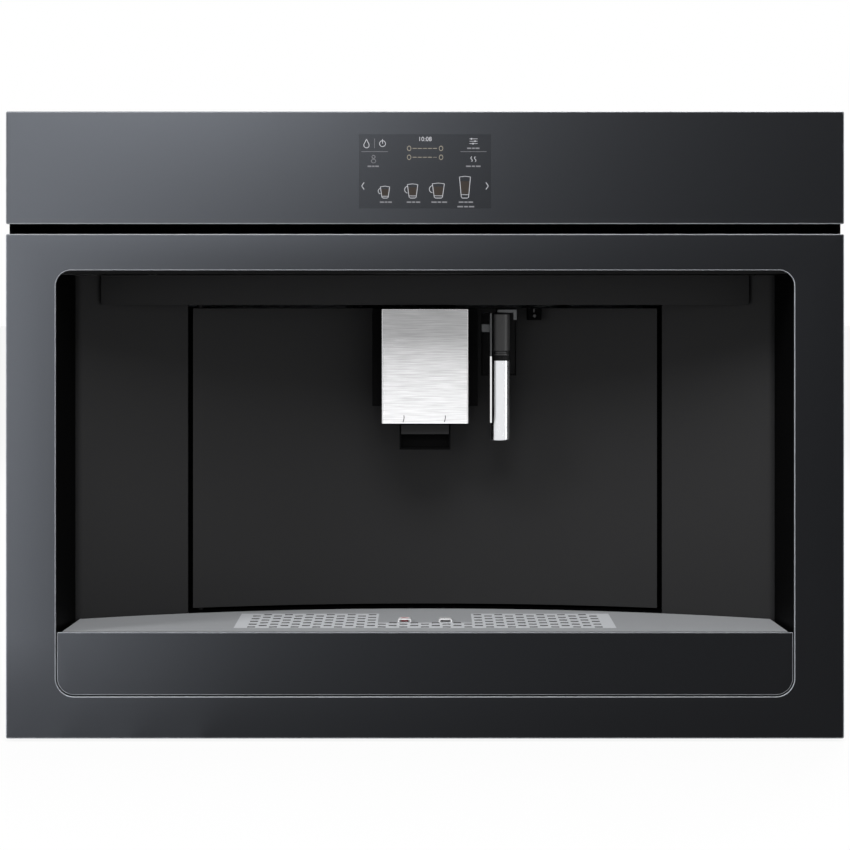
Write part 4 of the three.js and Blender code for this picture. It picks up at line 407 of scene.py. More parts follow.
# Painted shade inside the grate's slots.
SLOT_SHADE = Finish(
    "slot_wall_painted_shade", "tray_plate", (0.12, 0.12, 0.125), 0.6, Grain.BLASTED,
    specular=0.1, relief=0.0,
)
ZINC = SpangledFinish(
    "zinc_sheet", "zinc_sheet", (0.44, 0.45, 0.47), 0.38, Grain.CAST,
    metallic=0.9, variation=0.12, wear=0.25,
)
SCREW_STEEL = Finish(
    "screw_steel", "zinc_sheet", (0.50, 0.50, 0.50), 0.28, Grain.CAST,
    metallic=1.0, variation=0.08,
)
GREY = Finish(
    "grey_moulding", "grey_plastic", (0.13, 0.135, 0.14), 0.42,
    variation=0.08, relief=0.08,
)
RED = Finish("red_moulding", "red_plastic", (0.42, 0.018, 0.03), 0.38, variation=0.08)
CLEAR = Finish(
    "smoked_clear_moulding", "clear_plastic", (0.55, 0.6, 0.64), 0.14, Grain.LACQUER,
    transmission=0.8, variation=0.03, relief=0.02,
)
BRASS = Finish(
    "turned_brass", "brass", (0.55, 0.40, 0.15), 0.3, Grain.BRUSHED_UP,
    metallic=1.0, relief=0.08, wear=0.15,
)
CAST = Finish(
    "cast_metal", "cast_metal", (0.30, 0.31, 0.32), 0.45, Grain.CAST,
    metallic=0.85, variation=0.14, relief=0.22, wear=0.2,
)
SHELL = Finish(
    "boiler_shell", "boiler_shell", (0.42, 0.42, 0.43), 0.36, Grain.BRUSHED_UP,
    metallic=0.9, relief=0.08, wear=0.2,
)
BOARD = Finish(
    "solder_mask", "board_green", (0.014, 0.10, 0.045), 0.35, Grain.CAST,
    variation=0.2, relief=0.08,
)


# ---- mesh code


class Plane(Enum):
    """The plane an outline is drawn in; it is then extruded along the third axis."""

    FRONT = "front"  # outline (x, z), extruded over depth
    PLAN = "plan"  # outline (x, depth), extruded over z
    SIDE = "side"  # outline (depth, z), extruded over x

    def place(self, u: float, v: float, w: float) -> Vector:
        """Returns the point of outline place (u, v) at w along the extrusion, in metres."""
        x, d, z = {Plane.FRONT: (u, w, v), Plane.PLAN: (u, v, w), Plane.SIDE: (w, u, v)}[self]
        return at(x, d, z)


def at(x: float, depth: float, z: float) -> Vector:
    """Returns a point in the frame, in metres, from a place in millimetres."""
    return Vector((x * MM, FRONT_Y + depth * MM, z * MM))


def extent(node: str) -> tuple[Span, Span, Span]:
    """Returns the spans of a CAD node in x, depth and z, in millimetres."""
    low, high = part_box(node)
    return (
        (low.x / MM, high.x / MM),
        ((low.y - FRONT_Y) / MM, (high.y - FRONT_Y) / MM),
        (low.z / MM, high.z / MM),
    )


def arc(centre: Point2, radius: float, start: float, end: float, steps: int) -> Loop:
    """Returns points along an arc.

    Args:
        centre: Its centre.
        radius: Its radius.
        start: First angle in degrees.
        end: Last angle in degrees.
        steps: Number of chords.

    Returns:
        The points, ends included.
    """
    angles = [math.radians(start + (end - start) * i / steps) for i in range(steps + 1)]
    return [(centre[0] + radius * math.cos(a), centre[1] + radius * math.sin(a)) for a in angles]


def rounded(u: Span, v: Span, radii: Sequence[float] | float, steps: int = 10) -> Loop:
    """Returns a rectangle with rounded corners, counter-clockwise.

    Args:
        u: Its span along the first axis.
        v: Its span along the second axis.
        radii: One radius, or four from the lower left corner, counter-clockwise.
        steps: Chords in each corner.

    Returns:
        The loop's points.
    """
    corner = [radii] * 4 if isinstance(radii, (int, float)) else list(radii)
    centres = [
        (u[0] + corner[0], v[0] + corner[0], 180),
        (u[1] - corner[1], v[0] + corner[1], 270),
        (u[1] - corner[2], v[1] - corner[2], 0),
        (u[0] + corner[3], v[1] - corner[3], 90),
    ]
    loop: Loop = []
    for (cu, cv, start), radius in zip(centres, corner):
        loop += arc((cu, cv), radius, start, start + 90, steps)
    return loop


def stroke(points: Loop, width: float) -> Loop:
    """Returns the outline of a line drawn with a pen of that width.

    Args:
        points: The line's points.
        width: The pen's width.

    Returns:
        A closed loop round the line.
    """
    left: Loop = []
    right: Loop = []
    for i, (u, v) in enumerate(points):
        before = points[max(i - 1, 0)]
        after = points[min(i + 1, len(points) - 1)]
        du, dv = after[0] - before[0], after[1] - before[1]
        length = math.hypot(du, dv) or 1.0
        nu, nv = -dv / length * width / 2, du / length * width / 2
        left.append((u + nu, v + nv))
        right.append((u - nu, v - nv))
    return left + right[::-1]


def inset(loop: Loop, distance: float) -> Loop:
    """Returns a counter-clockwise loop moved inwards, or a clockwise one outwards.

    Args:
        loop: The closed loop.
        distance: How far each edge moves to its left.

    Returns:
        The moved loop, with as many points.
    """
    moved: Loop = []
    count = len(loop)
    for i, (u, v) in enumerate(loop):
        normals = []
        for (u0, v0), (u1, v1) in ((loop[i - 1], (u, v)), ((u, v), loop[(i + 1) % count])):
            length = math.hypot(u1 - u0, v1 - v0)
            if length > 1e-9:
                normals.append((-(v1 - v0) / length, (u1 - u0) / length))
        mean = (sum(n[0] for n in normals), sum(n[1] for n in normals))
        size = math.hypot(*mean) or 1.0
        unit = (mean[0] / size, mean[1] / size)
        lean = unit[0] * normals[0][0] + unit[1] * normals[0][1]
        reach = distance / max(lean, 0.3)
        moved.append((u + unit[0] * reach, v + unit[1] * reach))
    return moved


def tidy_loop(loop: Loop) -> Loop:
    """Returns the loop without points that repeat their neighbour."""
    return [p for i, p in enumerate(loop) if math.dist(p, loop[i - 1]) > 1e-6]


def turned_left(loop: Loop) -> Loop:
    """Returns the loop counter-clockwise."""
    area = sum(loop[i - 1][0] * loop[i][1] - loop[i][0] * loop[i - 1][1] for i in range(len(loop)))
    return loop if area > 0 else loop[::-1]


def placed(name: str, data: bpy.types.ID) -> bpy.types.Object:
    """Makes an object of some data, links it to the scene and returns it."""
    made = bpy.data.objects.new(name, data)
    bpy.context.scene.collection.objects.link(made)
    return made


def evaluated(made: bpy.types.Object) -> bpy.types.Mesh:
    """Returns an object's mesh with its modifiers applied."""
    view = bpy.context.evaluated_depsgraph_get()
    return bpy.data.meshes.new_from_object(made.evaluated_get(view))


class Body:
    """Collects closed shapes in one bmesh and turns them into a piece."""

    def __init__(self) -> None:
        """Starts with no shape."""
        self.mesh = bmesh.new()

    def slab(
        self,
        plane: Plane,
        outline: Loop,
        span: Span,
        bevel: float = 0.0,
        holes: Iterable[Loop] = (),
        steps: int = 3,
    ) -> "Body":
        """Adds a plate with rounded edges.

        Args:
            plane: The plane of the outline.
            outline: The outer loop.
            span: Where it begins and ends along the third axis.
            bevel: Radius of all its edges.
            holes: Loops that are left open.
            steps: Chords in each rounded edge.

        Returns:
            This body.
        """
        loops = [turned_left(tidy_loop(outline))]
        loops += [turned_left(tidy_loop(h))[::-1] for h in holes]
        low, high = span
        levels = [(0.0, low), (0.0, high)]
        if bevel > 0:
            turns = [math.pi / 2 * i / steps for i in range(steps + 1)]
            rise = [(bevel * (1 - math.sin(a)), bevel * (1 - math.cos(a))) for a in turns]
            levels = [(back, low + up) for back, up in rise]
            levels += [(back, high - up) for back, up in reversed(rise)]
        caps: tuple[list, list] = ([], [])
        for loop in loops:
            rings = [
                [self.mesh.verts.new(plane.place(u, v, w)) for u, v in inset(loop, back)]
                for back, w in levels
            ]
            count = len(loop)
            for ring, above in zip(rings, rings[1:]):
                for i in range(count):
                    j = (i + 1) % count
                    self.mesh.faces.new((ring[i], ring[j], above[j], above[i]))
            for cap, ring in zip(caps, (rings[0], rings[-1])):
                cap += [self.mesh.edges.get((ring[i], ring[(i + 1) % count])) for i in range(count)]
        for cap in caps:
            bmesh.ops.triangle_fill(self.mesh, use_beauty=True, use_dissolve=False, edges=cap)
        return self

    def block(self, x: Span, depth: Span, z: Span, bevel: float = 0.4) -> "Body":
        """Adds a box with rounded edges, given its spans, and returns this body."""
        corner = min(bevel, (x[1] - x[0]) / 2.2, (depth[1] - depth[0]) / 2.2)
        return self.slab(Plane.PLAN, rounded(x, depth, corner, 3), z, min(bevel, corner))

    def turned(self, plane: Plane, profile: Loop, centre: Point2, steps: int) -> "Body":
        """Adds a turned shape.

        Args:
            plane: The plane square to its axis.
            profile: (radius, place along the axis), from one end to the other.
            centre: The axis' place in the plane.
            steps: Chords round the axis.

        Returns:
            This body.
        """
        rings = []
        for radius, along in profile:
            if radius < 1e-6:
                rings.append([self.mesh.verts.new(plane.place(centre[0], centre[1], along))])
            else:
                loop = arc(centre, radius, 0, 360, steps)[:-1]
                rings.append([self.mesh.verts.new(plane.place(u, v, along)) for u, v in loop])
        for ring, above in zip(rings, rings[1:]):
            for i in range(steps):
                j = (i + 1) % steps
                corners = [ring[i % len(ring)], ring[j % len(ring)]]
                corners += [above[j % len(above)], above[i % len(above)]]
                unique = list(dict.fromkeys(corners))
                if len(unique) > 2:
                    self.mesh.faces.new(unique)
        for ring in (rings[0], rings[-1]):
            if len(ring) > 1:
                self.mesh.faces.new(ring)
        return self

    def node_copy(self, node: str) -> "Body":
        """Adds a merged copy of a CAD node's mesh and returns this body."""
        self.mesh.from_mesh(frame["nodes"][node].data)
        bmesh.ops.remove_doubles(self.mesh, verts=self.mesh.verts, dist=MERGE)
        bmesh.ops.dissolve_limit(
            self.mesh,
            angle_limit=FLAT_ANGLE,
            use_dissolve_boundaries=False,
            verts=self.mesh.verts,
            edges=self.mesh.edges,
            delimit=set(),
        )
        return self

    def piece(
        self,
        name: str,
        body: str,
        finishes: Finish | Sequence[Finish],
        stands_for: Sequence[str] = (),
        choose: Callable[[bmesh.types.BMFace], int] | None = None,
        bevel: float = 0.0,
    ) -> bpy.types.Object:
        """Makes the collected shapes one piece that rides on a body.

        Args:
            name: The piece's name.
            body: The CAD body it rides on.
            finishes: Its finish, or several with choose.
            stands_for: CAD nodes that it replaces.
            choose: Gives a face's number in finishes.
            bevel: Width of a bevel on the sharp edges.

        Returns:
            The piece.
        """
        several = [finishes] if isinstance(finishes, Finish) else list(finishes)
        bmesh.ops.recalc_face_normals(self.mesh, faces=self.mesh.faces)
        self.mesh.normal_update()
        for face in self.mesh.faces:
            face.smooth = True
            face.material_index = choose(face) if choose else 0
        data = bpy.data.meshes.new(name)
        self.mesh.to_mesh(data)
        self.mesh.free()
        for finish in several:
            data.materials.append(finish.material())
        made = placed(name, data)
        if bevel:
            edge = made.modifiers.new("rounded_edges", "BEVEL")
            edge.width = bevel * MM
            edge.segments = 2
            edge.limit_method = "ANGLE"
            edge.angle_limit = BEVEL_ANGLE
            flatten(made)
        made.data.set_sharp_from_angle(angle=SMOOTH_ANGLE)
        even = made.modifiers.new("even_normals", "WEIGHTED_NORMAL")
        even.keep_sharp = True
        even.weight = 100
        flatten(made)
        return mount(made, body, several[0], stands_for)


def flatten(made: bpy.types.Object) -> None:
    """Turns an object's modifiers into its mesh."""
    result = evaluated(made)
    made.modifiers.clear()
    made.data = result


def mount(
    made: bpy.types.Object, body: str, finish: Finish, stands_for: Sequence[str] = ()
) -> bpy.types.Object:
    """Lets a finished piece ride on its body and stand for CAD nodes.

    Args:
        made: The piece.
        body: The CAD body it rides on.
        finish: Not used.
        stands_for: CAD nodes that it replaces.

    Returns:
        The piece.
    """
    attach(made, body)
    if stands_for:
        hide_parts(*stands_for)
    log.info("piece %s rides on %s, %d faces", made.name, body, len(made.data.polygons))
    return made


def dress(node: str, finish: Finish, bevel: float = 0.0) -> bpy.types.Object:
    """Gives a CAD node its finish; with a bevel, a smooth copy with rounded edges replaces it.

    Args:
        node: The CAD node.
        finish: Its finish.
        bevel: Width of the rounded edges, or 0 to keep the node itself.

    Returns:
        The object that shows.
    """
    body = frame["nodes"][node]["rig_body"]
    if bevel:
        return Body().node_copy(node).piece(f"{node}_finished", body, finish, [node], bevel=bevel)
    kept = frame["nodes"][node]
    kept.data.materials.clear()
    kept.data.materials.append(finish.material())
    return kept


# ---- repeated pieces


class Facing(Enum):
    """The way a row of repeated pieces looks, as the turn of their own +Z."""

    UP = (0.0, 0.0, 0.0)
    FRONT = (math.pi / 2, 0.0, 0.0)
    BACK = (-math.pi / 2, 0.0, 0.0)
    LEFT = (0.0, -math.pi / 2, 0.0)
    RIGHT = (0.0, math.pi / 2, 0.0)


@dataclass
class Repeated:
    """A geometry node tree that sets one small shape on every given place."""

    name: str
    body: str
    finish: Finish
    facing: Facing
    places: list[Place]
    sizes: dict[str, float] = field(default_factory=dict)

    def make(self) -> bpy.types.Object:
        """Builds the tree on a mesh of the places and returns the flattened piece."""
        data = bpy.data.meshes.new(self.name)
        data.from_pydata([at(*p) for p in self.places], [], [])
        made = placed(self.name, data)
        group = bpy.data.node_groups.new(f"{self.name}_tree", "GeometryNodeTree")
        face = group.interface
        face.new_socket("Places", in_out="INPUT", socket_type="NodeSocketGeometry")
        sockets = {}
        for size, value in self.sizes.items():
            socket = face.new_socket(size, in_out="INPUT", socket_type="NodeSocketFloat")
            socket.default_value = value * MM
            sockets[socket.identifier] = value * MM
        seed = face.new_socket("Seed", in_out="INPUT", socket_type="NodeSocketInt")
        seed.default_value = SEED
        face.new_socket("Pieces", in_out="OUTPUT", socket_type="NodeSocketGeometry")
        wires = Wiring(group)
        given = wires.node("NodeGroupInput")
        shape = self.shape(wires, given)
        spin = wires.out(
            "FunctionNodeRandomValue",
            {"Seed": given.outputs["Seed"], "Max": Vector((0.0, 0.0, self.loose_turn()))},
            data_type="FLOAT_VECTOR",
        )
        instanced = wires.out(
            "GeometryNodeInstanceOnPoints",
            {"Points": given.outputs["Places"], "Instance": shape, "Rotation": self.facing.value},
        )
        turned = wires.out(
            "GeometryNodeRotateInstances",
            {"Instances": instanced, "Rotation": spin, "Local Space": True},
        )
        real = wires.out("GeometryNodeRealizeInstances", {0: turned})
        painted = wires.out(
            "GeometryNodeSetMaterial", {"Geometry": real, "Material": self.finish.material()}
        )
        wires.node("NodeGroupOutput", {0: painted})
        modifier = made.modifiers.new("repeat", "NODES")
        modifier.node_group = group
        for identifier, value in sockets.items():
            modifier[identifier] = value
        modifier[seed.identifier] = SEED
        flatten(made)
        made.data.set_sharp_from_angle(angle=SMOOTH_ANGLE)
        return mount(made, self.body, self.finish)

    def shape(self, wires: Wiring, given: bpy.types.Node) -> Socket:
        """Adds the nodes of the one small shape, which looks along +Z, and returns its socket."""
        raise NotImplementedError

    def loose_turn(self) -> float:
        """Returns the largest random turn round the shape's own axis."""
        return 0.0


@dataclass
class Screws(Repeated):
    """Screws whose heads narrow to a flat top with a cross recess."""

    sizes: dict[str, float] = field(
        default_factory=lambda: {"Head radius": 3.4, "Head height": 1.3, "Recess": 0.9}
    )
    sides: int = 20
    top_share: float = 0.78  # the flat top's radius as a share of the head's
    slot_share: float = 1.15  # each slot's length as a share of the head's radius

    def loose_turn(self) -> float:
        """Returns a full turn, as screws stop at any angle."""
        return math.tau

    def shape(self, wires: Wiring, given: bpy.types.Node) -> Socket:
        """Builds a tapered head with a cross cut into it. Returns its socket."""
        radius, height = given.outputs["Head radius"], given.outputs["Head height"]
        top = wires.math("MULTIPLY", radius, self.top_share)
        head = wires.out(
            "GeometryNodeMeshCone",
            {"Vertices": self.sides, "Radius Top": top, "Radius Bottom": radius, "Depth": height},
        )
        size = wires.math("MULTIPLY", radius, self.slot_share)
        up = wires.out("ShaderNodeCombineXYZ", {2: height})
        cut = wires.node(
            "GeometryNodeMeshBoolean", {"Mesh 1": head}, operation="DIFFERENCE", solver="EXACT"
        )
        for long_axis in (0, 1):
            cutter_size = wires.out(
                "ShaderNodeCombineXYZ",
                {long_axis: size, 1 - long_axis: given.outputs["Recess"], 2: height},
            )
            bar = wires.out("GeometryNodeMeshCube", {"Size": cutter_size})
            bar = wires.out("GeometryNodeTransform", {"Geometry": bar, "Translation": up})
            wires.give(cut.inputs["Mesh 2"], bar)
        return cut.outputs["Mesh"]


@dataclass
class Louvres(Repeated):
    """Pressed louvres: long low ridges, each a stretched ball sunk to its middle."""

    sizes: dict[str, float] = field(
        default_factory=lambda: {"Ridge length": 34.0, "Ridge width": 5.0, "Ridge height": 1.5}
    )
    turn: float = 0.0

    def shape(self, wires: Wiring, given: bpy.types.Node) -> Socket:
        """Builds one ridge from a ball stretched along its axes. Returns its socket."""
        ball = wires.out("GeometryNodeMeshUVSphere", {"Segments": 20, "Rings": 10, "Radius": 0.5})
        size = wires.out(
            "ShaderNodeCombineXYZ",
            {
                0: given.outputs["Ridge length"],
                1: given.outputs["Ridge width"],
                2: wires.math("MULTIPLY", given.outputs["Ridge height"], 2.0),
            },
        )
        return wires.out(
            "GeometryNodeTransform",
            {"Geometry": ball, "Scale": size, "Rotation": (0.0, 0.0, self.turn)},
        )


@dataclass
class Rivets(Repeated):
    """Rivets: short pegs that narrow to their crown."""

    sizes: dict[str, float] = field(
        default_factory=lambda: {"Peg radius": 2.0, "Peg height": 1.0, "Crown": 0.7}
    )
    sides: int = 20

    def shape(self, wires: Wiring, given: bpy.types.Node) -> Socket:
        """Builds one peg. Returns its socket."""
        return wires.out(
            "GeometryNodeMeshCone",
            {
                "Vertices": self.sides,
                "Radius Top": given.outputs["Crown"],
                "Radius Bottom": given.outputs["Peg radius"],
                "Depth": given.outputs["Peg height"],
            },
        )


# ---- front


def painted_highlight_face(face: bmesh.types.BMFace) -> int:
    """Returns 1 for a face that slants towards the front, such as a chamfer, which takes a painted
    highlight.
    """
    return int(-0.99 < face.normal.y < -0.12)


@dataclass
class FrontGlass:
    """The three dark glass panels, whose chamfers are painted lighter as a highlight."""

    chamfer: float = 0.7
    tray_chamfer: float = 0.5
    corner: float = 1.2
    control_setback: float = 0.1
    opening_top_radius: float = 11.0
    opening_bottom_radius: float = 13.0
    opening_half_width: float = 262.5
    opening_z: Span = (32.0, 334.8)
    tray_front_corner: float = 1.0
    reflecting: ClassVar[tuple[str, ...]] = (
        "control_panel_glass", "front_frame_glass", "drip_tray_glass", "display_window",
    )

    def build(self) -> None:
        """Makes the control panel, the frame and the drip tray's front."""
        finishes = (GLASS, GLASS_HIGHLIGHT)
        x, depth, z = extent("control_glass")
        Body().slab(
            Plane.FRONT, rounded(x, z, self.corner, 4), (self.control_setback, depth[1]),
            self.chamfer, steps=2,
        ).piece("control_panel_glass", "machine", finishes, ["control_glass"], painted_highlight_face)
        x, depth, z = extent("frame_glass")
        half = self.opening_half_width
        top, bottom = self.opening_top_radius, self.opening_bottom_radius
        opening = rounded((-half, half), self.opening_z, (bottom, bottom, top, top), 16)
        Body().slab(
            Plane.FRONT, rounded(x, z, self.corner, 4), depth, self.chamfer, [opening], 2
        ).piece("front_frame_glass", "machine", finishes, ["frame_glass"], painted_highlight_face)
        x, depth, z = extent("tray_front")
        low = bottom - (half - x[1])
        Body().slab(
            Plane.FRONT,
            rounded(x, z, (low, low, self.tray_front_corner, self.tray_front_corner), 16),
            depth, self.tray_chamfer, steps=2,
        ).piece("drip_tray_glass", "drip_tray", finishes, ["tray_front"], painted_highlight_face)
        # The handle channel takes painted shade, near black like the gap under the control panel;
        # the carriers are black mouldings.
        for node in ("control_carrier", "frame_carrier", "handle_channel"):
            dress(node, SHADE_BLACK if node == "handle_channel" else BLACK)


@dataclass(frozen=True)
class Vessel:
    """A glass in the menu's lower row, given by its middle, half widths and height."""

    middle: float
    foot: float
    mouth: float
    height: float
    base: float = 386.3
    corner: Point2 = (0.8, 0.6)
    rim_bow: float = 0.5
    bottom_share: float = 0.16  # the thick bottom's edge; this and the next two are shares
    grip_share: float = 0.62  # the handle's middle
    coffee: Span = (0.2, 0.8)  # where the coffee begins and ends

    def level(self, share: float) -> float:
        """Returns the height in z of a share of the vessel's height."""
        return self.base + self.height * share

    def wall(self) -> Loop:
        """Returns the line from the left rim round the foot to the right rim."""
        in_by, up_by = self.corner
        foot, base = self.foot, self.base
        half = [(self.mouth, self.level(1)), (foot, base + up_by), (foot - in_by, base)]
        left = [(self.middle - u, v) for u, v in half]
        return left + [(self.middle + u, v) for u, v in reversed(half)]

    def rim(self) -> Loop:
        """Returns the bowed line across the mouth."""
        top = self.level(1)
        left, right = self.middle - self.mouth, self.middle + self.mouth
        return [(left, top), (self.middle, top + self.rim_bow), (right, top)]

    def bottom(self) -> Loop:
        """Returns the line over the thick bottom."""
        level = self.level(self.bottom_share)
        return [(self.middle - self.foot, level), (self.middle + self.foot, level)]

    def grip(self) -> Loop:
        """Returns the handle's line, on the left."""
        centre = (self.middle - self.mouth + 0.4, self.level(self.grip_share))
        return arc(centre, self.height * 0.25, 95, 262, 12)

    def drink(self) -> Loop:
        """Returns the coffee's outline."""
        low, full = self.foot - 0.2, self.foot + (self.mouth - self.foot) * 0.8 - 0.5
        start, end = (self.level(share) for share in self.coffee)
        corners = [(-low, start), (low, start), (full, end), (-full, end)]
        return [(self.middle + u, v) for u, v in corners]


@dataclass
class MenuDisplay:
    """The colour display: a window in the control panel with a generic menu of plain symbols."""

    half_width: float = 47.0
    z: Span = (378.9, 431.7)
    window_depth: Span = (0.05, 0.3)
    symbol_depth: Span = (0.0, 0.12)
    pen: float = 0.42
    thin_pen: float = 0.34
    rule_pen: float = 0.28
    label_pen: float = 1.0
    drop: Point2 = (-41.6, 423.9)
    drop_radius: float = 1.9
    dial: Point2 = (-30.2, 425.0)
    dial_radius: float = 2.1
    icon_top: float = 428.2
    slider_x: Span = (31.6, 37.4)
    slider_top: float = 428.4
    slider_step: float = 1.7
    knobs: Row = (33.0, 35.6, 34.2)
    steam: Point2 = (34.4, 412.2)
    arrow: Point2 = (45.0, 394.9)
    arrow_size: Point2 = (1.7, 2.5)
    rules: tuple[tuple[Point2, Point2], ...] = (
        ((-45.2, 419.3), (-26.4, 419.3)),
        ((25.2, 419.3), (43.8, 419.3)),
        ((-35.9, 421.8), (-35.9, 428.6)),
    )
    labels: tuple[Place, ...] = ((-36.8, 408.9, 8.0), (34.3, 421.7, 8.8), (34.3, 408.9, 10.4))
    label_parts: tuple[Span, ...] = ((0.0, 0.34), (0.4, 0.62), (0.68, 1.0))
    levels: tuple[tuple[float, int], ...] = ((421.6, 5), (415.3, 4))  # height and full marks
    level_rings_x: Span = (-11.3, 11.4)
    marks: int = 5
    mark_start: float = -8.8
    mark_pitch: float = 3.6
    mark_length: float = 2.9
    mark_pens: Span = (0.5, 0.26)  # full and empty
    small_rings: tuple[tuple[Point2, float, float], ...] = (
        ((-36.6, 415.6), 1.1, 1.0),
        ((-36.6, 412.6), 1.6, 0.8),
    )
    clock: str = "10:08"
    clock_height: float = 4.4
    clock_z: float = 426.8
    tall: float = 12.0  # vessels lower than this have a handle
    vessels: ClassVar[tuple[Vessel, ...]] = (
        Vessel(-28.4, 2.2, 3.3, 8.0),
        Vessel(-8.8, 2.5, 3.7, 9.6),
        Vessel(9.5, 2.9, 4.3, 10.2),
        Vessel(28.4, 2.6, 3.9, 15.0),
    )

    def build(self) -> None:
        """Makes the window and its symbols."""
        Body().slab(
            Plane.FRONT, rounded((-self.half_width, self.half_width), self.z, 0.6, 4),
            self.window_depth,
        ).piece("display_window", "machine", DISPLAY)
        self._symbols("menu_symbols", SYMBOL, self._bright() + self._glasses())
        self._symbols("menu_rules", FAINT_SYMBOL, self._faint())
        self._symbols("menu_warm_symbols", WARM_SYMBOL, self._warm())
        self._symbols("menu_drinks", COFFEE_SYMBOL, [(v.drink(), []) for v in self.vessels])
        self._clock()
        dress("display_module", DISPLAY)
        dress("control_board", BOARD)

    def _symbols(self, name: str, finish: Finish, marks: list[Mark]) -> None:
        """Makes one piece of symbols, whose outlines are in (x, z)."""
        body = Body()
        for outline, holes in marks:
            body.slab(Plane.FRONT, outline, self.symbol_depth, holes=holes)
        body.piece(name, "machine", finish)

    def _line(self, points: Loop, width: float | None = None) -> Mark:
        """Returns a pen line as an outline with no holes."""
        return stroke(points, width or self.pen), []

    def _ring(self, centre: Point2, radius: float, squash: float = 1.0) -> Mark:
        """Returns a ring as an outline with its hole."""
        rings = []
        for r in (radius + self.pen / 2, radius - self.pen / 2):
            loop = arc((0, 0), r, 0, 360, 28)[:-1]
            rings.append([(centre[0] + u, centre[1] + v * squash) for u, v in loop])
        return rings[0], [rings[1]]

    def _bright(self) -> list[Mark]:
        """Returns the bright symbols: a drop and a dial, sliders, steam and two arrows."""
        tip = (self.drop[0], self.icon_top)
        round_part = arc(self.drop, self.drop_radius, -215, 35, 18)
        found = [self._line([tip] + round_part[::-1] + [tip])]
        found.append(self._ring(self.dial, self.dial_radius))
        found.append(self._line([self.dial, (self.dial[0], self.icon_top)]))
        for row, knob in enumerate(self.knobs):
            level = self.slider_top - self.slider_step * row
            found.append(self._line([(u, level) for u in self.slider_x], 0.3))
            found.append((arc((knob, level), 0.6, 0, 360, 14)[:-1], []))
        u, v = self.steam
        for shift in (-1.3, 1.3):
            curl = [(u + shift + 0.6 * math.sin(t * 1.1), v + t * 0.6) for t in range(7)]
            found.append(self._line(curl, 0.4))
        width, rise = self.arrow_size
        for side in (-1, 1):
            point, back = self.arrow[0] * side, (self.arrow[0] - width) * side
            level = self.arrow[1]
            arrow = [(back, level + rise), (point, level), (back, level - rise)]
            found.append(self._line(arrow, 0.5))
        return found

    def _glasses(self) -> list[Mark]:
        """Returns the outlines of the four vessels, from small to tall."""
        found = []
        for vessel in self.vessels:
            found.append(self._line(vessel.wall()))
            found += [self._line(line, self.thin_pen) for line in (vessel.rim(), vessel.bottom())]
            if vessel.height < self.tall:
                found.append(self._line(vessel.grip(), 0.4))
        return found

    def _faint(self) -> list[Mark]:
        """Returns the fainter marks: dividers, bars that stand for labels, and two rings."""
        found = [self._line(list(rule), self.rule_pen) for rule in self.rules]
        labels = list(self.labels)
        labels += [(v.middle + 0.6, 383.4, 2.6 * v.mouth) for v in self.vessels]
        labels.append((self.vessels[-1].middle + 0.6, 380.2, 12.0))
        for middle, level, length in labels:
            left = middle - length / 2
            for part in self.label_parts:
                bar = [(left + share * length, level) for share in part]
                found.append(self._line(bar, self.label_pen))
        return found + [self._ring(*ring) for ring in self.small_rings]

    def _warm(self) -> list[Mark]:
        """Returns two rows of level marks in warm white, with a ring at either end."""
        found = []
        for level, full in self.levels:
            found += [self._ring((side, level), 1.3, 1.25) for side in self.level_rings_x]
            for i in range(self.marks):
                start = self.mark_start + self.mark_pitch * i
                mark = [(start, level), (start + self.mark_length, level)]
                found.append(self._line(mark, self.mark_pens[i >= full]))
        return found

    def _clock(self) -> None:
        """Makes the clock's plain digits."""
        text = bpy.data.curves.new("menu_clock_text", "FONT")
        text.body = self.clock
        text.size = self.clock_height * MM
        text.align_x = "CENTER"
        text.extrude = (self.symbol_depth[1] - self.symbol_depth[0]) / 2 * MM
        text.resolution_u = 4
        holder = placed("menu_clock_text", text)
        data = evaluated(holder)
        bpy.data.objects.remove(holder)
        upright = Matrix.Rotation(math.pi / 2, 4, "X")
        middle = sum(self.symbol_depth) / 2
        data.transform(Matrix.Translation(at(0, middle, self.clock_z)) @ upright)
        data.materials.clear()
        data.materials.append(SYMBOL.material())
        mount(placed("menu_clock", data), "machine", SYMBOL)


# ---- niche and door


@dataclass
class CupNiche:
    """The walls, the ceiling, the bar over the dispenser, and dark strips of painted shade behind
    the door's seams.
    """

    seam_shade_x: Span = (166.0, 190.0)
    seam_shade_depth: Span = (134.0, 136.0)
    seam_shade_z: Span = (80.2, 309.0)

    def build(self) -> None:
        """Dresses the niche."""
        # Faces that look sideways take the near-black finish, painted shade on the same moulding as
        # the lit curved faces.
        for side in ("left", "right"):
            Body().node_copy(f"niche_panel_{side}").piece(
                f"niche_wall_{side}", "machine", (DOOR, BLACK_AND_SHADE), [f"niche_panel_{side}"],
                lambda face: int(abs(face.normal.x) > 0.96), bevel=0.3,
            )
        dress("niche_ceiling", MATTE)
        dress("valance", DOOR, 0.4)
        # The tray shelf takes painted shade, for the dark gap between the door and the cup tray.
        dress("tray_shelf", SHADE_BLACK)
        # Near-black strips behind the door's seams: painted shade in the seams.
        for side, sign in (("left", -1), ("right", 1)):
            x = tuple(sorted((sign * self.seam_shade_x[0], sign * self.seam_shade_x[1])))
            Body().block(x, self.seam_shade_depth, self.seam_shade_z, 0.6).piece(
                f"door_seam_shade_{side}", "machine", SHADE_BLACK
            )


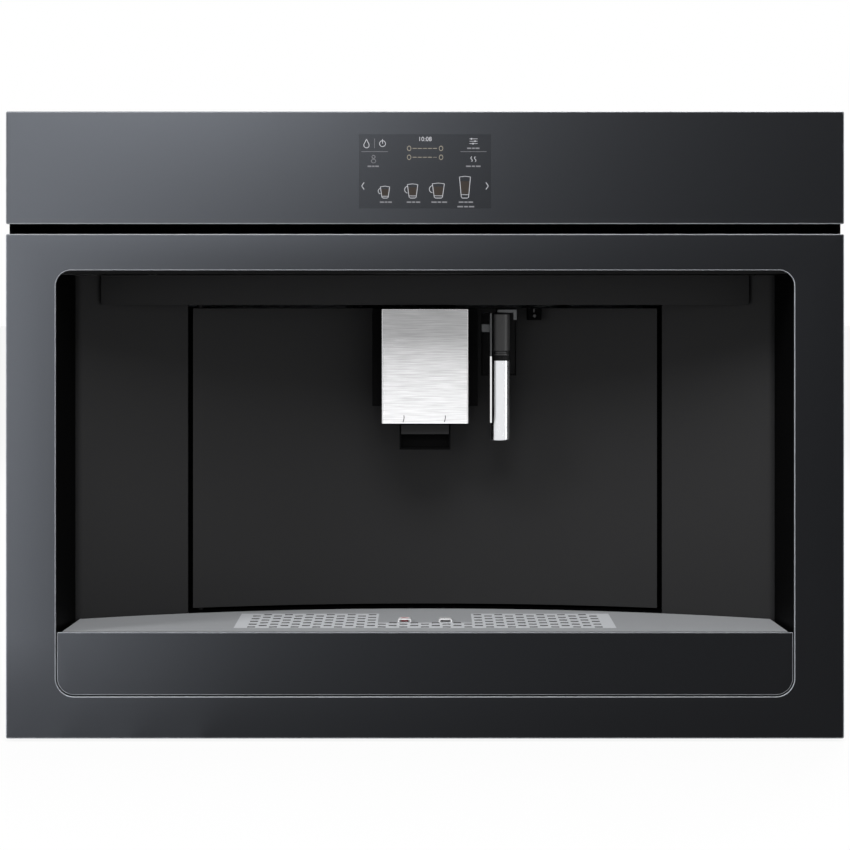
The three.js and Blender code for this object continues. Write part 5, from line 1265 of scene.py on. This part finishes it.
@dataclass
class ServiceDoor:
    """The curved door and what it carries beside the dispenser and the nozzle."""

    bevel: float = 0.5
    small_bevel: float = 0.4
    stud_radius: float = 1.3
    stud_reach: float = 1.4
    stud_edge: float = 0.3
    stud_rise: float = 3.2
    rib_z: Span = (0.4, 3.0)  # below the block's top
    rib_width: float = 0.9

    def build(self) -> None:
        """Dresses the door and its guide."""
        dress("service_door", DOOR, self.bevel)
        dress("dispenser_guide", BLACK_AND_SHADE, self.small_bevel)
        dress("sensor_block", BLACK_AND_SHADE, self.small_bevel)
        x, (face, _), z = extent("sensor_block")
        middle = (x[0] + x[1]) / 2
        tip, radius = face - self.stud_reach, self.stud_radius
        profile = [(0.0, tip), (radius - self.stud_edge, tip)]
        profile += [(radius, tip + 0.4), (radius, face + 1)]
        Body().turned(
            Plane.FRONT, profile, (middle, z[0] + self.stud_rise), steps=24
        ).piece("sensor_stud", "door", SOFT_BLACK)
        line = [(middle - 0.4, z[1] - below) for below in self.rib_z]
        Body().slab(
            Plane.FRONT, stroke(line, self.rib_width), (face - 0.5, face + 0.2)
        ).piece("sensor_rib", "door", SOFT_BLACK)


@dataclass
class Dispenser:
    """The steel-faced slide with the spout under it."""

    sheet: float = 1.0
    fold_radius: float = 1.1
    edge: float = 0.45
    mark_x: Span = (-16.4, 14.2)
    mark_above: float = 0.9  # from the cover's lower edge
    mark_rise: float = 5.2
    mark_bow: float = 0.9
    mark_steps: int = 6
    mark_pen: float = 0.6
    face_margin: float = 1.2
    face_height: float = 8.0

    def build(self) -> None:
        """Makes the cover with its thumb marks, and the spout."""
        x, depth, z = extent("dispenser_cover")
        fold = max(self.fold_radius - self.sheet, 0.1)
        outer = self._folds(x, depth, self.fold_radius, 5)
        inner_x = (x[0] + self.sheet, x[1] - self.sheet)
        inner = self._folds(inner_x, (depth[0] + self.sheet, depth[1]), fold, 3)
        # Faces that slant towards the front take the bright steel, a painted highlight along the
        # folds.
        Body().slab(Plane.PLAN, outer + inner[::-1], z, self.edge, steps=2).piece(
            "dispenser_cover_sheet", "dispenser", (STEEL, STEEL_HIGHLIGHT), ["dispenser_cover"],
            lambda face: int(-0.985 < face.normal.y < -0.15),
        )
        marks = Body()
        for mark in self.mark_x:
            shares = [t / self.mark_steps for t in range(self.mark_steps + 1)]
            low, rise, bow = z[0] + self.mark_above, self.mark_rise, self.mark_bow
            curve = [(mark + bow * math.sin(t * 2.2), low + rise * t) for t in shares]
            span = (depth[0] - 0.03, depth[0] + 0.05)
            marks.slab(Plane.FRONT, stroke(curve, self.mark_pen), span)
        marks.piece("cover_thumb_marks", "dispenser", SOFT_BLACK)
        dress("dispenser_slider", BLACK_AND_SHADE)
        dress("spout_block", BLACK_AND_SHADE, 0.5)
        x, depth, z = extent("spout_block")
        Body().block(
            (x[0] + self.face_margin, x[1] - self.face_margin),
            (depth[0] - 0.4, depth[0] + 1),
            (z[1] - self.face_height, z[1] - 0.6),
            0.3,
        ).piece("spout_face", "dispenser", DOOR)

    @staticmethod
    def _folds(x: Span, depth: Span, radius: float, steps: int) -> Loop:
        """Returns one side of the folded sheet, from its rear left to its rear right end.

        Args:
            x: The sheet's span across.
            depth: Its front face and its rear end.
            radius: The folds' radius.
            steps: Chords in each fold.

        Returns:
            The points along the sheet.
        """
        front = depth[0] + radius
        left = arc((x[0] + radius, front), radius, 180, 270, steps)
        right = arc((x[1] - radius, front), radius, 270, 360, steps)
        return [(x[0], depth[1])] + left + right + [(x[1], depth[1])]


@dataclass
class HotWaterNozzle:
    """The chrome tube with its black connector, bracket and release button."""

    steps: int = 72
    end_radius: float = 1.0
    bore: float = 1.9
    bore_length: float = 6.0
    neck: float = 0.6  # the step in the tube under the connector
    neck_drop: float = 2.8
    strip_x: Span = (48.7, 50.1)
    strip_gap: float = 0.9
    strip_z: Span = (221.8, 304.0)
    strip_step: float = 271.7  # a bright painted highlight under it, a grey painted highlight beside the connector
    strip_depth: float = 102.6
    catch_x: Span = (54.4, 68.8)
    catch_z: Span = (299.0, 306.6)
    catch_depth: Span = (105.2, 106.4)

    def build(self) -> None:
        """Makes the tube, the connector and the bracket."""
        centre, radius, z = self._round("nozzle_tube")
        end, mouth, neck = self.end_radius, z[0] + self.bore_length, z[1] - self.neck_drop
        bore = self.bore
        profile = [(0.0, mouth), (bore, mouth), (bore, z[0] + 0.4), (bore + 0.4, z[0])]
        profile += arc((radius - end, z[0] + end), end, -90, 0, 6)
        profile += [(radius, neck - self.neck), (radius - self.neck, neck)]
        profile += [(radius - self.neck, z[1]), (0.0, z[1])]
        ring = (neck - 0.4) * MM
        Body().turned(Plane.PLAN, profile, centre, self.steps).piece(
            "nozzle_chrome_tube", "door", (TUBE_CHROME, MATTE), ["nozzle_tube"],
            lambda face: int(face.calc_center_median().z > ring),
        )
        centre, radius, z = self._round("nozzle_connector")
        lower = [(0.9, 0.0), (0.5, 0.4), (0.5, 1.6), (1.2, 2.0), (1.2, 3.0), (0.3, 3.6), (0.0, 4.2)]
        upper = [(0.0, 1.0), (0.3, 0.3), (1.0, 0.0)]
        profile = [(0.0, z[0])] + [(radius - inwards, z[0] + up) for inwards, up in lower]
        profile += [(radius - inwards, z[1] - down) for inwards, down in upper] + [(0.0, z[1])]
        Body().turned(Plane.PLAN, profile, centre, self.steps).piece(
            "nozzle_grip", "door", SOFT_BLACK, ["nozzle_connector"]
        )
        dress("nozzle_bracket", MATTE, 0.4)
        dress("nozzle_button", GREY, 0.5)
        self._strip()
        self._catch()

    @staticmethod
    def _round(node: str) -> tuple[Point2, float, Span]:
        """Returns an upright round node's centre, its radius and its span in z."""
        x, depth, z = extent(node)
        return ((x[0] + x[1]) / 2, (depth[0] + depth[1]) / 2), (x[1] - x[0]) / 2, z

    def _strip(self) -> None:
        """Adds a painted highlight along the tube's left side: a bright strip, grey beside the
        connector, over a strip of painted shade.
        """
        back = (self.strip_depth + 0.5, self.strip_depth + 1.0)
        wide = (self.strip_x[0], self.strip_x[1] + self.strip_gap)
        # Near-black painted shade behind the gap between the strip and the tube.
        Body().block(wide, back, self.strip_z, 0.15).piece("nozzle_rim_shade", "door", SHADE_BLACK)
        front = (self.strip_depth, self.strip_depth + 0.4)
        low, high, step = *self.strip_z, self.strip_step
        Body().block(self.strip_x, front, (low, step), 0.15).block(
            self.strip_x, front, (step + 0.05, high), 0.15
        ).piece(
            "nozzle_rim_highlight", "door", (STEEL_HIGHLIGHT, GREY),
            choose=lambda face: int(face.calc_center_median().z > step * MM),
        )

    def _catch(self) -> None:
        """Adds the angled catch over the connector."""
        x, z = self.catch_x, self.catch_z
        corner = [(x[0], z[1] - 2.2), (x[1] - 2.4, z[1] - 2.2), (x[1] - 2.4, z[0]), (x[1], z[0])]
        Body().slab(
            Plane.FRONT, corner + [(x[1], z[1]), (x[0], z[1])], self.catch_depth, 0.2
        ).piece("nozzle_catch", "door", GREY)


# ---- trays


@dataclass
class CupTray:
    """The slotted metal tray, the float under its left hood and the drip tray."""

    hood_above: float = 77.75
    bevel: float = 0.08
    wings_above: float = 77.0  # over this the float's cross shows, black but for its tongue
    tongue_half_width: float = 1.6

    def build(self) -> None:
        """Makes the tray and dresses the tub and the float."""
        level = self.hood_above * MM

        def choose(face: bmesh.types.BMFace) -> int:
            """Returns 1 for the hoods, which stand over the plate, and 2 for the slots' walls,
            which take painted shade.
            """
            if face.calc_center_median().z > level:
                return 1
            return 2 if abs(face.normal.z) < 0.3 and self._in_field(face) else 0

        Body().node_copy("cup_tray_plate").piece(
            "cup_tray_grate", "cup_tray", (PLATE, HOOD, SLOT_SHADE), ["cup_tray_plate"], choose,
            bevel=self.bevel,
        )
        middle = sum(extent("tray_float")[0]) / 2 * MM
        Body().node_copy("tray_float").piece(
            "float_with_red_tongue", "float", (RED, BLACK), ["tray_float"],
            lambda face: int(self._in_wings(face, middle)), bevel=0.2,
        )
        dress("tray_tub", BLACK)

    def _in_wings(self, face: bmesh.types.BMFace, middle: float) -> bool:
        """Returns whether a face of the float is on a wing, given its middle's x in metres."""
        place = face.calc_center_median()
        aside = abs(place.x - middle) > self.tongue_half_width * MM
        return place.z > self.wings_above * MM and aside

    @staticmethod
    def _in_field(face: bmesh.types.BMFace) -> bool:
        """Returns whether a face lies inside the grate's field of slots."""
        middle = face.calc_center_median()
        front, back = PLATE.depth_span
        depth = (middle.y - FRONT_Y) / MM
        return abs(middle.x) < PLATE.half_width * MM and front < depth < back


# ---- casing


@dataclass
class Casing:
    """Sheet panels with their screws and louvres, the runners and the base plate."""

    top: float = 441.5
    screw_edge: Span = (9.0, 8.0)  # from the sides' lower and upper edges
    screw_depths: Row = (34, 250, 460)
    screw_depths_at_tank: Row = (34, 226, 460)
    back_screws_x: Row = (-266, -90, 150, 266)
    back_screws_z: float = 230
    top_screws: tuple[tuple[Row, Span], ...] = (
        ((-268, 0, 268), (34, 210)),
        ((-268, 268), (340, 460)),
    )
    louvre_depths: Row = (90, 150, 310, 370)
    louvre_rows: range = range(300, 426, 14)
    top_louvres_x: Row = (-160, -80, 0, 80, 160)
    top_louvre_depths: range = range(60, 190, 16)
    slit_offset: float = 3.0
    swage_corner: float = 14.0
    swage_width: float = 6.0
    swage_rise: float = 0.9
    rivet_depth: float = 27.0
    rivet_rows: range = range(60, 440, 54)
    base_top: float = 2.0
    base_rivets_x: Span = (215, 235)
    base_rivet_depths: range = range(60, 440, 60)

    def build(self) -> None:
        """Dresses the sheet metal and adds its small fasteners."""
        for node in (
            "base_plate", "chassis_pan", "side_panel_left", "side_panel_right", "top_panel",
            "back_panel", "front_bulkhead", "outer_runner_left", "outer_runner_right",
            "mid_runner_left", "mid_runner_right", "inner_runner_left", "inner_runner_right",
        ):
            dress(node, ZINC)
        dress("hopper_lid", BLACK, 0.5)
        dress("fan_rotor", BLACK)
        self._screws()
        self._louvres()
        self._swages()
        self._rivets()

    def _screws(self) -> None:
        """Sets screws on the casing's panels."""
        above, below = self.screw_edge
        x, depth, z = extent("side_panel_left")
        low, high = z[0] + above, z[1] - below
        side = x[0] - SCREW_STAND
        places = [(side, d, level) for d in self.screw_depths for level in (low, high)]
        Screws("screws_left_panel", "machine", SCREW_STEEL, Facing.LEFT, places).make()
        x, depth, z = extent("side_panel_right")
        low, high, side = z[0] + above, z[1] - below, x[1] + SCREW_STAND
        places = [(side, d, high) for d in self.screw_depths]
        places += [(side, d, low) for d in self.screw_depths_at_tank]
        Screws("screws_right_panel", "machine", SCREW_STEEL, Facing.RIGHT, places).make()
        x, depth, z = extent("back_panel")
        back, (left, *_, right) = depth[1] + SCREW_STAND, self.back_screws_x
        places = [(u, back, v) for u in self.back_screws_x for v in (z[0] + below, z[1] - below)]
        places += [(u, back, self.back_screws_z) for u in (left, right)]
        Screws("screws_back_panel", "machine", SCREW_STEEL, Facing.BACK, places).make()
        level = self.top + SCREW_STAND
        places = [(u, d, level) for us, ds in self.top_screws for u in us for d in ds]
        Screws("screws_top_panel", "machine", SCREW_STEEL, Facing.UP, places).make()

    @staticmethod
    def _sides() -> tuple[tuple[str, float, Facing], ...]:
        """Returns the name, the outer face's x and the facing of both side panels."""
        left, right = extent("side_panel_left")[0][0], extent("side_panel_right")[0][1]
        return ("left", left, Facing.LEFT), ("right", right, Facing.RIGHT)

    def _louvres(self) -> None:
        """Presses rows of louvres into the side and top panels, each over a near-black strip of
        painted shade that stands for its slit.
        """
        for side, x, facing in self._sides():
            places = [(x, d, level) for d in self.louvre_depths for level in self.louvre_rows]
            self._row(f"{side}_panel", facing, places, (0, 0, -self.slit_offset), math.pi / 2)
        places = [(u, d, self.top) for u in self.top_louvres_x for d in self.top_louvre_depths]
        self._row("top_panel", Facing.UP, places, (0, self.slit_offset, 0), 0.0)

    def _row(
        self,
        panel: str,
        facing: Facing,
        places: list[Place],
        step: Place,
        turn: float,
    ) -> None:
        """Sets louvres on their places and beside each a near-black strip, painted shade for its
        slit.

        Args:
            panel: The panel's name, for the pieces' names.
            facing: The way the panel looks.
            places: The louvres' places.
            step: From a louvre to its slit.
            turn: Turn of the louvres round their own axis.
        """
        Louvres(f"louvres_{panel}", "machine", ZINC, facing, places, turn=turn).make()
        beside = [tuple(a + b for a, b in zip(place, step)) for place in places]
        sizes = {"Ridge length": 31.0, "Ridge width": 1.7, "Ridge height": 0.15}
        # Near-black strips of painted shade for the slits.
        Louvres(f"slits_{panel}", "machine", SHADE_BLACK, facing, beside, sizes, turn).make()

    def _swages(self) -> None:
        """Presses stiffening ridges into the panels."""
        (_, left, _), (_, right, _) = self._sides()
        back = extent("back_panel")[1][1]
        for name, plane, u, v, face in (
            ("swage_left_panel", Plane.SIDE, (60, 440), (70, 250), left),
            ("swage_right_panel", Plane.SIDE, (60, 200), (70, 250), right),
            ("swage_back_panel", Plane.FRONT, (-130, 236), (125, 404), back),
            ("swage_top_left", Plane.PLAN, (-246, -166), (232, 440), self.top),
            ("swage_top_right", Plane.PLAN, (126, 246), (232, 440), self.top),
        ):
            outline = rounded(u, v, self.swage_corner)
            hole = inset(outline, self.swage_width)
            side = -1 if face < 0 else 1
            span = tuple(sorted((face - side * 0.3, face + side * self.swage_rise)))
            Body().slab(plane, outline, span, self.swage_rise * 0.9, [hole], 4).piece(
                name, "machine", ZINC
            )

    def _rivets(self) -> None:
        """Sets rivets along the panels' front edges and on the runners' base plate."""
        for side, x, facing in self._sides():
            places = [(x, self.rivet_depth, level) for level in self.rivet_rows]
            Rivets(f"rivets_{side}_panel", "machine", SCREW_STEEL, facing, places).make()
        across = [side * u for side in (-1, 1) for u in self.base_rivets_x]
        places = [(u, d, self.base_top) for u in across for d in self.base_rivet_depths]
        Rivets("rivets_base_plate", "mount_base", SCREW_STEEL, Facing.UP, places).make()


# ---- inside


@dataclass
class Works:
    """What is inside the casing: brewing unit, grinder, boilers, pump, boards and tank."""

    frame_screws_x: float = 8.0  # from the brewing frame's sides
    frame_screws_z: Span = (6.0, 5.0)  # from its foot and its top
    border_margin: float = 8.0
    border_width: float = 3.0
    rib_count: int = 19
    rib_pitch: float = 8.0
    rib_start: float = 22.0
    rib_rise: float = 60.0
    ribs: ClassVar[dict[str, float]] = {
        "Ridge length": 76.0, "Ridge width": 2.6, "Ridge height": 0.7,
    }

    def build(self) -> None:
        """Dresses the pieces inside."""
        for node, finish, bevel in (
            ("infuser_frame", CAST, 0.6), ("brew_piston", GREY, 0.4), ("infuser", GREY, 0.4),
            ("lead_screw", ZINC, 0.0), ("infuser_motor", CAST, 0.5),
            ("grounds_container", BLACK, 0.5), ("bean_hopper", CLEAR, 0.5),
            ("grind_dial", GREY, 0.4), ("upper_burr", CAST, 0.0), ("lower_burr", CAST, 0.0),
            ("grinder_housing", BLACK, 0.5), ("grinder_motor", CAST, 0.5),
            ("water_tank", CLEAR, 0.5), ("coffee_boiler", SHELL, 0.0),
            ("steam_boiler", SHELL, 0.0), ("pump", BRASS, 0.0), ("power_board", BOARD, 0.0),
            ("mains_inlet", BLACK, 0.4), ("main_switch", RED, 0.5),
        ):
            dress(node, finish, bevel)
        x, depth, z = extent("infuser_frame")
        aside, (above, below) = self.frame_screws_x, self.frame_screws_z
        columns, rows = (x[0] + aside, x[1] - aside), (z[0] + above, z[1] - below)
        places = [(u, depth[0] - SCREW_STAND, v) for u in columns for v in rows]
        Screws("screws_brewing_frame", "machine", SCREW_STEEL, Facing.FRONT, places).make()
        self._tank_face()

    def _tank_face(self) -> None:
        """Moulds a border and a row of ribs on the tank's outer face."""
        x, depth, z = extent("water_tank")
        face, margin = x[1], self.border_margin
        border = rounded(
            (depth[0] + margin, depth[1] - margin), (z[0] + margin, z[1] - margin), margin
        )
        Body().slab(
            Plane.SIDE, border, (face - 0.3, face + 0.7), 0.6, [inset(border, self.border_width)]
        ).piece("tank_border", "tank", CLEAR)
        first, level = depth[0] + self.rib_start, z[0] + self.rib_rise
        places = [(face, first + self.rib_pitch * i, level) for i in range(self.rib_count)]
        Louvres("tank_ribs", "tank", CLEAR, Facing.RIGHT, places, self.ribs).make()


# ---- studio


@dataclass
class Studio:
    """The camera at the photograph's viewing angle, soft lamps, a pale floor and white air."""

    eye: Place = (0.0, -2.1375, 0.3138)
    lens: float = 113.2
    shift: float = -0.147
    air: float = 0.25
    floor_white: float = 0.9
    floor_front: float = -0.66  # the pale table's front edge, just under the camera's view
    floor_half: float = 30.0
    floor_drop: float = 0.0002
    aim: Place = (0.0, -0.1, 0.24)
    reflector_tint: Colour = (0.83, 0.89, 1.0)
    low_left: float = -0.42  # the left edge of the cards on the floor
    low_rights: Row = (-0.26, -0.21, -0.16)  # their right edges, stepped to fade
    low_middle: float = -0.45
    low_rise: float = 0.002
    low_depth: float = 0.42
    low_power: float = 6.0  # watts per square metre

    def build(self) -> None:
        """Makes the camera, the lamps, the floor and the world."""
        scene = bpy.context.scene
        scene.view_settings.view_transform = "Standard"
        camera = bpy.data.cameras.new("camera")
        camera.lens = self.lens
        camera.sensor_width = 36.0
        camera.shift_y = self.shift
        holder = placed("camera", camera)
        holder.location = self.eye
        holder.rotation_euler = (math.pi / 2, 0.0, 0.0)
        scene.camera = holder
        for name, place, side, power in (
            ("softbox_front", (0.0, -1.6, 1.7), 1.0, 35.0),
            ("softbox_left", (-2.2, -1.5, 1.5), 0.6, 28.0),
            ("softbox_back", (0.6, 2.4, 2.0), 1.4, 60.0),
        ):
            self._lamp(name, place, (side, side), power)
        self._glass_cards()
        card = self._lamp("reflector_under_cover", (0.0, -0.30, 0.11), (0.24, 0.04), 0.09)
        self._show_only_in([card], "steel_cover", ["dispenser_cover_sheet"])
        card = self._lamp("reflector_beside_tube", (0.25, -0.14, 0.25), (0.14, 0.2), 0.20)
        self._show_only_in([card], "nozzle_tube", ["nozzle_chrome_tube", "nozzle_grip"])
        self._floor()
        self._world()

    def _glass_cards(self) -> None:
        """Adds the cards that the front glass reflects: two far ones, and low ones on the floor."""
        cards = [
            self._lamp("reflector_high", (-0.554, -4.6, 1.397), (0.62, 0.94), 290.0),
            self._lamp("reflector_tall", (-1.158, -3.6, 0.140), (0.88, 1.34), 142.0),
        ]
        for index, right in enumerate(self.low_rights, 1):
            width = right - self.low_left
            place = ((right + self.low_left) / 2, self.low_middle, self.low_rise)
            power = self.low_power * width * self.low_depth
            card = self._lamp(f"reflector_low_{index}", place, (width, self.low_depth), power)
            card.rotation_euler = (math.pi, 0.0, 0.0)
            cards.append(card)
        for card in cards:
            card.data.color = self.reflector_tint
            card.visible_diffuse = False
        self._show_only_in(cards, "front_glass", FrontGlass.reflecting)

    def _lamp(self, name: str, place: Place, sides: Span, power: float) -> bpy.types.Object:
        """Adds a soft lamp that looks at the machine's middle.

        Args:
            name: Its name.
            place: Where it stands, in metres.
            sides: Its width and height, in metres.
            power: Its power in watts.

        Returns:
            The lamp's object.
        """
        lamp = bpy.data.lights.new(name, "AREA")
        lamp.shape = "RECTANGLE"
        lamp.size, lamp.size_y = sides
        lamp.energy = power
        holder = placed(name, lamp)
        holder.location = place
        aim = Vector(self.aim) - Vector(place)
        holder.rotation_euler = aim.to_track_quat("-Z", "Y").to_euler()
        holder.visible_camera = False
        return holder

    @staticmethod
    def _show_only_in(cards: list[bpy.types.Object], name: str, pieces: Iterable[str]) -> None:
        """Lets lamps reach only some pieces, and lets only these block them.

        Args:
            cards: The lamps.
            name: A name for the collection of the pieces.
            pieces: The pieces' names.
        """
        group = bpy.data.collections.new(name)
        for piece in pieces:
            group.objects.link(bpy.data.objects[piece])
        for card in cards:
            card.light_linking.receiver_collection = group
            card.light_linking.blocker_collection = group

    @staticmethod
    def _seen(wires: Wiring) -> Socket:
        """Returns 1 for rays that look at the surroundings: camera, glossy and transmission."""
        path = wires.node("ShaderNodeLightPath").outputs
        first = wires.math("MAXIMUM", path["Is Camera Ray"], path["Is Glossy Ray"])
        return wires.math("MAXIMUM", first, path["Is Transmission Ray"])

    def _floor(self) -> None:
        """Adds the pale floor, which keeps a soft shadow."""
        data = bpy.data.meshes.new("floor")
        half, front = self.floor_half, self.floor_front
        corners = [(-half, front), (half, front), (half, half), (-half, half)]
        data.from_pydata([(*corner, -self.floor_drop) for corner in corners], [], [(0, 1, 2, 3)])
        floor = placed("floor", data)
        made = bpy.data.materials.new("pale_floor")
        made.use_nodes = True
        made.node_tree.nodes.clear()
        wires = Wiring(made.node_tree)
        shade = wires.out("ShaderNodeBsdfDiffuse", {"Color": (0.9, 0.9, 0.9, 1.0)})
        white = wires.out("ShaderNodeEmission", {"Color": (1.0, 1.0, 1.0, 1.0)})
        share = wires.math("MULTIPLY", self._seen(wires), self.floor_white)
        mixed = wires.out("ShaderNodeMixShader", {0: share, 1: shade, 2: white})
        wires.node("ShaderNodeOutputMaterial", {0: mixed})
        data.materials.append(made)

    def _world(self) -> None:
        """Makes the air white to look at and plain as a light."""
        world = bpy.data.worlds.new("studio_air")
        world.use_nodes = True
        world.node_tree.nodes.clear()
        wires = Wiring(world.node_tree)
        seen = self._seen(wires)
        strength = wires.out("ShaderNodeMapRange", {0: seen, 3: self.air, 4: 1.0})
        light = wires.out(
            "ShaderNodeBackground", {"Color": (1.0, 1.0, 1.0, 1.0), "Strength": strength}
        )
        wires.node("ShaderNodeOutputWorld", {0: light})
        bpy.context.scene.world = world


def main() -> None:
    logging.basicConfig(level=logging.INFO, format="%(message)s")
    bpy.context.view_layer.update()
    for assembly in (
        FrontGlass(), MenuDisplay(), CupNiche(), ServiceDoor(), Dispenser(),
        HotWaterNozzle(), CupTray(), Casing(), Works(), Studio(),
    ):
        log.info("building %s", type(assembly).__name__)
        assembly.build()


if __name__ == "__main__":
    main()
